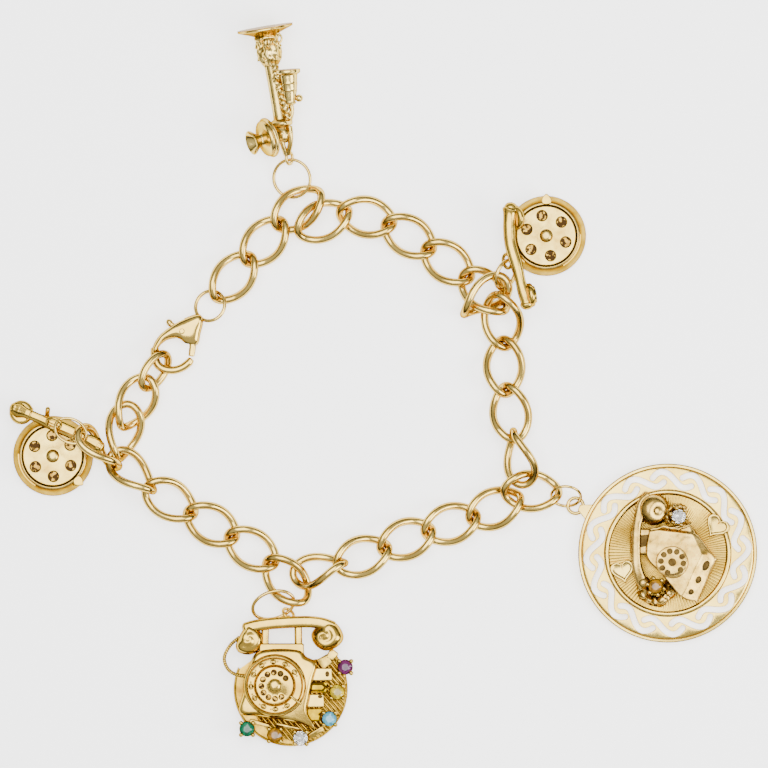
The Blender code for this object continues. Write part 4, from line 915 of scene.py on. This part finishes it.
def makeDisc():
    # a turned plate pierced by sixteen slots, its fluted middle, the inner ring, two hearts and the relief
    at = disc["at"]
    # painted highlight: the rim is made in the paler copy of the gold
    plate = meshPiece("disc_rim", inFrame([turned(disc["rim"], 160)], at), paleHighlightGold, sharpAngle=30)
    for slot in range(disc["waves"]):
        carve(plate, inFrame([waveCutter(slot)], at))
    settle(plate, "disc_charm")
    # radial flutes of the sunk middle: z = 1.02 + high |sin(n angle / 2)| fading to the centre
    r = np.linspace(0.3, 8.5, 40)[:, None]
    t = np.linspace(0, 2 * np.pi, disc["flutes"] * 8, endpoint=False)[None]
    wave = np.abs(np.sin(disc["flutes"] * t / 2 + 1.5 * np.sin(7 * t)))
    z = 1.02 + disc["fluteHigh"] * wave * np.clip((r - 2) / 3, 0, 1)
    # painted shade: the fluted middle is made in the darker, deeper yellow copy of the gold
    addPiece("disc_fan", inFrame([gridPatch(around(r, t, z), False, True)], at), fanShadeGold, sharpAngle=60)
    ring = torus(disc["ringRadius"], disc["ringRadius"], disc["ringWire"], 160, 16)
    patches = [placed(ring, at=(0, 0, disc["ringHigh"])), slab(disc["bailTab"], 0.35, 0.92, 0.12, 4)]
    for width, centre, turn in disc["hearts"]:
        outline = heartOutline(width, centre, turn)
        rings = [atHeight(centre + (outline - centre) * k, z) for k, z in disc["heartRim"]]
        patches.append(gridPatch(np.stack(rings), False, True))
    # painted highlight: ring, tab and hearts are made in the paler copy of the gold
    addPiece("disc_smooth", inFrame(patches, at) + [bail("disc")], paleHighlightGold)
    makeDiscRelief(at)
    for colour, place, turn in disc["stones"]:
        placeStone("stone_disc_" + colour, colour, place, at, turn)


def blockSlopes(x, y):
    # the relief's front: level left of the ridge, falling 0.45 per mm to its right, 0.4 lower on the shelf at the top,
    # and worn by a few slow waves
    ridge = np.array(disc["ridge"])
    beyond = x - np.interp(y, ridge[::-1, 1], ridge[::-1, 0])
    shelf = np.clip((y - 3.1 + 0.12 * x) / 0.35, 0, 1)
    worn = 0.05 * np.sin(1.1 * x + 0.7 * y + 0.5) * np.cos(0.9 * y - 0.4 * x)
    worn = worn + 0.03 * np.sin(2.6 * x + 1.9 * np.sin(1.7 * y)) * np.sin(2.2 * y + 1.4 * np.sin(2.1 * x))
    return 0.06 * np.minimum(beyond, 0) - 0.45 * np.maximum(beyond, 0) - 0.4 * shelf + worn


def makeDiscRelief(at):
    # the cast telephone: its block, strap, ear piece and lumps, then its pierced dial, then dark pieces painted as
    # shade in its holes, slots and low places
    high = disc["high"]
    rough = [dome(smoothOutline(disc["block"], 180), (0.9, -0.9), 0.9, high + 0.05, 0.3, 36, blockSlopes)]
    strap = rounded(np.array(disc["strap"]) + (0, 0, high), 70)
    rough.append(sweep(strap, 0.74 + 0.1 * np.cos(2 * np.pi * np.linspace(0, 1, 70)), 0.55, 24, square=0.5))
    rough.append(placed(turned(disc["ear"], 56, 60), turnMatrix(30, -14, 16), (-2.0, 6.2, high - 1.5)))
    rough.append(placed(ball(1.05, 1.1, 24), at=(-3.5, -4.2, high - 1.6)))
    rough.append(cast(slab(boxOutline(-5.3, -2.3, -0.2, 3.5, 0.5), 1.0, 2.6, 0.3, 5), 0.06, 2.3))
    # the cast rocks around the lower stone, and smaller ones around the upper
    for n in range(9):
        turn = math.radians(150 + 27 * n)
        x, y = -1.6 + 2.0 * math.cos(turn), -4.9 + 1.9 * math.sin(turn)
        lump = placed(ball(0.62 + 0.13 * (n % 3), 1.5, 16), turnMatrix(40 * n, 30), (x, y, 1.5 + 0.35 * ((n * 5) % 4)))
        rough.append(cast(lump, 0.14, 3.3))
    for n in range(7):
        turn = math.radians(-60 + 25 * n)
        lump = placed(ball(0.5, 1.1, 14), at=(1.3 + 1.5 * math.cos(turn + 2), 5.2 + 1.4 * math.sin(turn + 2), 2.6))
        rough.append(cast(lump, 0.12, 3.0))
    seam = rounded([(-2.4, 3.3, 3.45), (-0.6, 3.75, 3.55), (1.2, 3.5, 3.6), (2.9, 3.9, 3.4)], 40)
    rough.append(cast(sweep(seam, 0.22, 0.2, 10), 0.05, 4.0))
    for stone in disc["stones"]:
        rough += setting(stone[1], 1.2, 6)
    addPiece("disc_relief", inFrame(rough, at), reliefGold, sharpAngle=45)
    centre, circle = disc["dial"], disc["holeCircle"]
    top = high + 0.5
    turns = holeTurns(30, 360.0 / disc["holes"], disc["holes"])
    cut = [turn for turn in turns if abs(math.degrees(turn) - disc["noHole"]) > 20]
    dial = meshPiece("disc_dial", inFrame([placed(turned(disc["wheel"], 72), at=(*centre, high))], at), reliefGold)
    holes = dialHoles(cut, circle, 0.4, top - 0.3, top + 0.02, 20, 0.03, centre)
    for hole in holes + [cylinder(0.55, top - 0.3, top + 0.02, centre, 24, 0.04)]:
        carve(dial, inFrame([hole], at))
    settle(dial, None)
    # painted shade: dark drums in the dial's holes and middle, a dark arc on the dial, dark ovals in three slots and a
    # dark pane on the box
    spots = holeFloorShade(turns, circle, 0.39, top - 0.2, centre) + holeFloorShade([0.0], 0, 0.54, top - 0.2, centre)
    arc = np.radians(np.linspace(245, 320, 16))
    spots.append(sweep(around(1.75, arc, top) + (*centre, 0), 0.2, 0.03, 10))
    for x, y, wide, tall in disc["slots"]:
        z = high + 0.05 + blockSlopes(np.array([x]), np.array([y]))[0]
        slot = placed(ball(1.0, 0.14, 28), np.diag([wide, tall, 1.0]))
        spots.append(placed(slot, turnMatrix(-28) @ turnMatrix(0, -23), (x, y, z)))
    window = slab([(-0.7, -0.85), (0.7, -0.75), (0.75, 0.85), (-0.6, 0.9)], -0.2, 0.05, 0.03, 3)
    spots.append(placed(window, turnMatrix(8), (-3.35, 1.75, 2.62)))
    addPiece("disc_dark", inFrame(spots, at), stainAndShadeGold)


# Desk telephone charm

desk = {
    "at": (-13.31, -43.31, 0), "dial": (-2.24, 0.61),
    "plateEdge": [(8.0, 1.23), (8.08, 1.1), (8.1, 0.9), (8.1, 0.35), (8.0, 0.12), (7.7, 0.0), (0, 0.0)],
    "plateGap": [(-9, 4.2), (-7.2, 2.9), (-5.4, 4.2), (-4.0, 4.6), (1.9, 4.6), (2.6, 4.1), (3.9, 4.3), (7.6, 6.3),
                 (9, 7.2), (9, 10), (-9, 10)],
    "front": [(-4.5, 5.5), (-1.9, 5.85), (1.3, 5.65), (2.2, 4.7), (3.75, 3.7), (3.3, 1.6), (2.75, -1.2), (2.45, -3.4),
              (3.6, -5.6), (1.5, -4.85), (-1.9, -4.2), (-4.8, -3.75), (-7.3, -3.3), (-6.7, -0.4), (-6.2, 2.0),
              (-5.5, 4.3)],
    "fall": 0.012,    # the front's fall: mm for each square mm of the distance from the dial's middle
    "ring": [(2.4, 4.06), (2.7, 4.08), (2.73, 4.5), (2.82, 4.58), (2.94, 4.5), (3.0, 4.2), (3.7, 4.16), (3.82, 4.2),
             (3.9, 4.45), (4.05, 4.56), (4.2, 4.52), (4.34, 4.3), (4.42, 4.0), (4.46, 3.6)],
    "card": [(0.6, 3.4), (0.6, 4.12), (2.4, 4.12), (2.45, 4.0)],
    "posts": [[(-3.6, 9.0, 2.3), (-3.65, 7.0, 2.4), (-3.7, 5.4, 2.5)],
              [(1.05, 9.2, 2.3), (1.1, 7.0, 2.4), (1.15, 5.4, 2.5)]],
    "bar": [(-6.3, 8.7, 2.6), (-5.0, 9.05, 2.65), (-2.9, 9.35, 2.7), (0.0, 9.55, 2.7), (2.7, 9.6, 2.65),
            (4.6, 9.35, 2.6), (5.9, 8.9, 2.5)],
    "cups": [  # outline of each end of the handset, its middle, the eye of its curl, and the way it curls
        ([(-6.0, 9.45), (-6.7, 8.6), (-7.45, 7.2), (-7.8, 6.2), (-7.5, 5.4), (-6.7, 5.0), (-5.7, 4.95), (-4.7, 5.4),
          (-3.95, 6.3), (-3.85, 7.3), (-4.3, 8.2), (-5.0, 9.0)], (-5.9, 6.9), (-5.9, 7.2), 1),
        ([(5.4, 9.75), (6.4, 9.4), (7.1, 8.6), (7.5, 7.5), (7.2, 6.6), (6.2, 5.8), (4.9, 5.5), (3.8, 6.0),
          (3.1, 6.9), (2.95, 7.9), (3.5, 8.7), (4.4, 9.3)], (5.2, 7.5), (4.7, 7.5), -1),
    ],
    "curlHigh": 0.13, "curlStep": 1.7,
    "cord": [(-7.3, 7.4, 2.4), (-8.6, 6.2, 2.3), (-9.4, 4.5, 2.1), (-8.9, 2.9, 2.0), (-7.6, 2.05, 2.0),
             (-5.6, 1.8, 2.0)],
    "stoneHigh": 3.3,
    "stones": [("purple", 7.74, 3.19, 5), ("yellow", 6.59, -0.34, 20), ("blue", 5.5, -4.13, 12),
               ("clear", 1.42, -6.86, 8), ("orange", -2.24, -6.45, 0), ("green", -6.18, -5.57, 15)],
    "ledges": [  # x, y, half width, length, turn
        (4.9, 3.9, 0.9, 1.6, 35), (5.9, 4.9, 0.7, 1.4, 60), (-4.4, -4.8, 1.5, 0.6, -12), (-0.4, -5.3, 1.7, 0.5, -10),
        (3.6, -6.1, 1.2, 0.7, 30)],
    "panels": [(2.6, 5.85, 1.25, 3.0), (2.2, 4.7, -2.5, -0.7)],    # left, right, lower and upper side
    "deeps": [(2.4, 5.15, -0.5, 1.05), (2.1, 4.35, -4.5, -2.7)],
    "lip": [(2.9, -0.2, 2.3), (4.6, -0.15, 2.3), (5.05, 0.35, 2.3), (4.6, 0.85, 2.3), (3.0, 0.9, 2.3)],
    "stains": [(5.2, 2.2, 0.3, 0.42), (4.2, -1.0, 0.35, 0.25)],    # x, y, half width, half height
    "wheel": [(0, 0.87), (0.35, 0.85), (0.7, 0.76), (0.9, 0.58), (0.97, 0.47), (1.0, 0.45), (2.4, 0.45), (2.58, 0.42),
              (2.66, 0.3), (2.66, 0.0), (0.45, 0.0), (0.45, -1.05), (0, -1.05)],
    "wheelHigh": 4.35, "holes": 10, "firstHole": 34, "holeStep": 29.7, "holeCircle": 1.87, "markCircle": 3.36,
}


def ridgedPlate():
    # z = 1.36 + 0.14 |sin| across the diagonal, flat at 1.46 on the left rim, falling away in the last 0.3 mm
    r = np.linspace(0, 8.0, 120)[:, None]
    t = np.linspace(0, 2 * np.pi, 360, endpoint=False)[None]
    x, y = r * np.cos(t), r * np.sin(t)
    across = (x * 0.77 + y * 0.64) / 0.27
    smoothRim = np.clip((np.hypot(x - 1.3, y + 0.3) - 7.0) / 0.2, 0, 1) * (x < 2)
    z = 1.36 + 0.14 * np.abs(np.sin(np.pi * across / 2 + 0.4 * np.sin(3 * t))) * (1 - smoothRim) + 0.1 * smoothRim
    z = z - 0.25 * np.clip((r - 7.7) / 0.3, 0, 1) ** 2
    return gridPatch(np.stack([x + 0 * z, y + 0 * z, z], -1), False, True)


def makeDeskBody():
    # the domed front, number ring, cradle, posts, bar and two curled cups of the handset
    dx, dy = desk["dial"]
    front = dome(smoothOutline(desk["front"], 240), desk["dial"], 1.2, 3.93, 0.7, 24,
                 lambda x, y: -desk["fall"] * ((x - dx) ** 2 + (y - dy) ** 2))
    patches = [front, placed(turned(desk["ring"], 120), at=(dx, dy, 0)),
               slab(boxOutline(-4.5, 1.9, 4.6, 6.55, 0.3), 1.6, 3.2, 0.25, 5)]
    patches += [sweep(rounded(line, 20), 0.55, 0.5, 24, square=0.6) for line in desk["posts"]]
    patches.append(sweep(rounded(desk["bar"], 60), 0.84, 0.95, 32, square=0.8, caps=0.6))
    for outline, middle, (ex, ey), way in desk["cups"]:
        # a shell rolled to a curl: height wave cos(2 pi rho / step + way phi), fading 2 mm from its eye
        def curl(x, y, ex=ex, ey=ey, way=way):
            rho = np.hypot(x - ex, y - ey)
            phi = np.arctan2(y - ey, x - ex)
            wave = desk["curlHigh"] * np.cos(2 * np.pi * rho / desk["curlStep"] + way * phi)
            return wave * np.clip((1.9 - rho) / 0.9, 0, 1) * np.clip(rho / 0.5, 0, 1)

        patches.append(dome(smoothOutline(outline, 160), middle, 0.9, 3.8, 1.3, 40, curl))
    patches.append(sweep(rounded([(-0.2, 9.9, 2.0), (-0.3, 10.1, 1.7), (-0.3, 10.3, 1.45)], 8), 0.3))
    return patches


def makeDesk():
    # the ridged plate, the telephone with its card, marks and panels, the settings and stones, and the dial that turns
    at = desk["at"]
    dx, dy = desk["dial"]
    # painted shade: the ridged plate is made in the darker brown-gold copy of the gold
    plate = inFrame([ridgedPlate(), turned(desk["plateEdge"], 160)], at)
    plate = meshPiece("desk_plate", plate, plateShadeGold, sharpAngle=50)
    carve(plate, inFrame([slab(desk["plateGap"], -1.0, 3.0, 0.01, 2)], at))
    settle(plate, "desk_phone")
    addPiece("desk_card", inFrame([placed(turned(desk["card"], 80), at=(dx, dy, 0))], at), cardGold)
    addPiece("desk_body", inFrame(makeDeskBody(), at) + [bail("desk")], charmGold, sharpAngle=50)
    # number ring: raised blurs between the wheel and the ring, one for each finger hole
    turns = holeTurns(desk["firstHole"], desk["holeStep"], desk["holes"])
    marks, bumps = [], []
    for turn in turns:
        mx, my, mz = polar(desk["markCircle"], turn, desk["dial"], 4.2)
        marks.append(placed(torus(0.28, 0.36, 0.16, 20, 8), turnMatrix(math.degrees(turn)), (mx, my, mz)))
        bumps.append(placed(ball(0.21, 0.6, 12), at=(mx, my, mz)))
        bumps.append(placed(ball(0.14, 0.8, 10), at=(mx + 0.62 * math.sin(turn), my - 0.62 * math.cos(turn), mz)))
    addPiece("desk_marks", inFrame(marks, at), numberGold)
    addPiece("desk_bumps", inFrame(bumps, at), charmGold)
    rough = twistedCord(desk["cord"], 0.13, 0.15, 14, 160)
    for colour, x, y, turn in desk["stones"]:
        rough += setting((x, y, desk["stoneHigh"]), 0.9)
    # cast ledges between the body and the stones
    for x, y, wide, long, turn in desk["ledges"]:
        ledge = slab(boxOutline(-wide, wide, -long / 2, long / 2, 0.2), -1.0, 0.5, 0.15, 4)
        rough.append(cast(placed(ledge, turnMatrix(turn), (x, y, 1.9)), 0.1, 2.9))
    addPiece("desk_cast", inFrame(rough, at), castGold, sharpAngle=45)
    # painted highlight: the panels are made in the paler copy of the gold
    pale = [slab(boxOutline(*sides, 0.2), 1.2, 2.85, 0.12, 4) for sides in desk["panels"]]
    addPiece("desk_panels", inFrame(pale, at), paleHighlightGold)
    # painted reflection: the low boxes and the lip are made in a deep yellow for gold reflected in gold
    deep = [slab(boxOutline(*sides, 0.15), 1.2, 1.75, 0.08, 3) for sides in desk["deeps"]]
    addPiece("desk_deep", inFrame(deep, at), paintedReflectionGold)
    addPiece("desk_lip", inFrame([sweep(np.array(desk["lip"]), 0.14, 0.2, 8)], at), paintedReflectionGold)
    dark = [placed(slab(circlePath(wide, tall, 20)[:, :2], -0.2, 0.03, 0.02, 3), at=(x, y, 2.85))
            for x, y, wide, tall in desk["stains"]]
    # dark discs at the bottom of the first two finger holes
    plug = slab(circlePath(0.34, 0.34, 20)[:, :2], -0.1, 0.03, 0.02, 3)
    dark += [placed(plug, at=polar(desk["holeCircle"], turn, desk["dial"], 4.12)) for turn in turns[:2]]
    addPiece("desk_dark", inFrame(dark, at), stainAndShadeGold)
    stop = sweep([(dx + 2.3, dy - 1.5, 4.9), (dx + 3.0, dy - 2.1, 4.9), (dx + 3.7, dy - 2.6, 4.5)], 0.16)
    addPiece("desk_stop", inFrame([stop], at), charmGold)
    for colour, x, y, turn in desk["stones"]:
        placeStone("stone_desk_" + colour, colour, (x, y, desk["stoneHigh"]), at, turn)
    hub = (dx, dy, desk["wheelHigh"])
    dial = meshPiece("desk_wheel", inFrame([turned(desk["wheel"], 96)], at, base=hub), charmGold)
    for hole in dialHoles(turns, desk["holeCircle"], 0.4, -0.4, 0.47, 24, 0.05):
        carve(dial, inFrame([hole], at, base=hub))
    settle(dial, "desk_dial", "desk_dial")
    # painted shade: dark rings round the bottom of each finger hole
    holeShade = holeShadeRings(turns, desk["holeCircle"], 0.38, 0.11, 4.42, 20, desk["dial"])
    addPiece("desk_hole_shade", inFrame(holeShade, at), stainAndShadeGold, rider="desk_dial")


makeDisc()
print("disc charm made")
makeDesk()
print("desk telephone made")

# Floor, light and camera

studio = {
    "floor": "#FEFEFE", "floorSize": 0.6, "floorLit": 1.6, "sky": "#FFFFFF", "walls": "#3A362E", "skyPower": 0.9,
    "topPower": 3.6, "topSize": 0.42, "sidePower": 1.5, "sideSize": 0.22,
    "cameraHigh": 1.6, "sensorMm": 36, "viewWide": 768 * 0.142 * mm,    # 768 pixels of 0.142 mm
    "photoCentre": (-0.07, 0.0), "topAt": (-0.03, 0.06, 0.45), "sideAt": (0.3, -0.1, 0.25),
}


def makeStudio():
    # white paper that also shines a little, a room that is brighter above, two square lamps and the camera overhead
    side = studio["floorSize"] / 2
    mesh = bpy.data.meshes.new("paper")
    mesh.from_pydata([(-side, -side, 0), (side, -side, 0), (side, side, 0), (-side, side, 0)], [], [(0, 1, 2, 3)])
    floor = bpy.data.objects.new("white_paper", mesh)
    bpy.context.scene.collection.objects.link(floor)
    paper = bpy.data.materials.new("matteWhitePaper")    # plain bright background that keeps soft shadows faint
    paper.use_nodes = True
    shader = paper.node_tree.nodes["Principled BSDF"]
    shader.inputs["Base Color"].default_value = hexColour(studio["floor"])
    shader.inputs["Roughness"].default_value = 0.9
    shader.inputs["Emission Color"].default_value = hexColour(studio["floor"])
    shader.inputs["Emission Strength"].default_value = studio["floorLit"]
    mesh.materials.append(paper)
    world = bpy.data.worlds.new("white_room")
    bpy.context.scene.world = world
    world.use_nodes = True
    tree = world.node_tree
    back = tree.nodes["Background"]
    back.inputs["Strength"].default_value = studio["skyPower"]
    # a white ceiling over darker walls: the height of the view direction picks the tone
    place = addNode(tree, "ShaderNodeTexCoord")
    parts = addNode(tree, "ShaderNodeSeparateXYZ", {"Vector": place.outputs["Generated"]})
    tone = addNode(tree, "ShaderNodeValToRGB", {"Fac": parts.outputs["Z"]})
    tone.color_ramp.elements[0].position = 0.25
    tone.color_ramp.elements[0].color = hexColour(studio["walls"])
    tone.color_ramp.elements[1].position = 0.6
    tone.color_ramp.elements[1].color = hexColour(studio["sky"])
    tree.links.new(tone.outputs["Color"], back.inputs["Color"])
    for name, place, size, power in (("soft_top", studio["topAt"], studio["topSize"], studio["topPower"]),
                                     ("soft_side", studio["sideAt"], studio["sideSize"], studio["sidePower"])):
        data = bpy.data.lights.new(name, "AREA")
        data.shape = "SQUARE"
        data.size = size
        data.energy = power
        lamp = bpy.data.objects.new(name, data)
        lamp.location = place
        x, y, z = place    # the lamp looks at the origin
        lamp.rotation_euler = (math.atan2(math.hypot(x, y), z), 0, math.atan2(y, x) + math.pi / 2)
        bpy.context.scene.collection.objects.link(lamp)
    data = bpy.data.cameras.new("lens")
    data.sensor_width = studio["sensorMm"]
    data.lens = studio["sensorMm"] * studio["cameraHigh"] / studio["viewWide"]
    data.clip_start = 0.05
    data.clip_end = 10
    camera = bpy.data.objects.new("camera", data)
    x, y = studio["photoCentre"]
    camera.location = ((x + frameShift[0]) * mm, (y + frameShift[1]) * mm, studio["cameraHigh"])
    bpy.context.scene.collection.objects.link(camera)
    bpy.context.scene.camera = camera


makeStudio()
print("studio made")
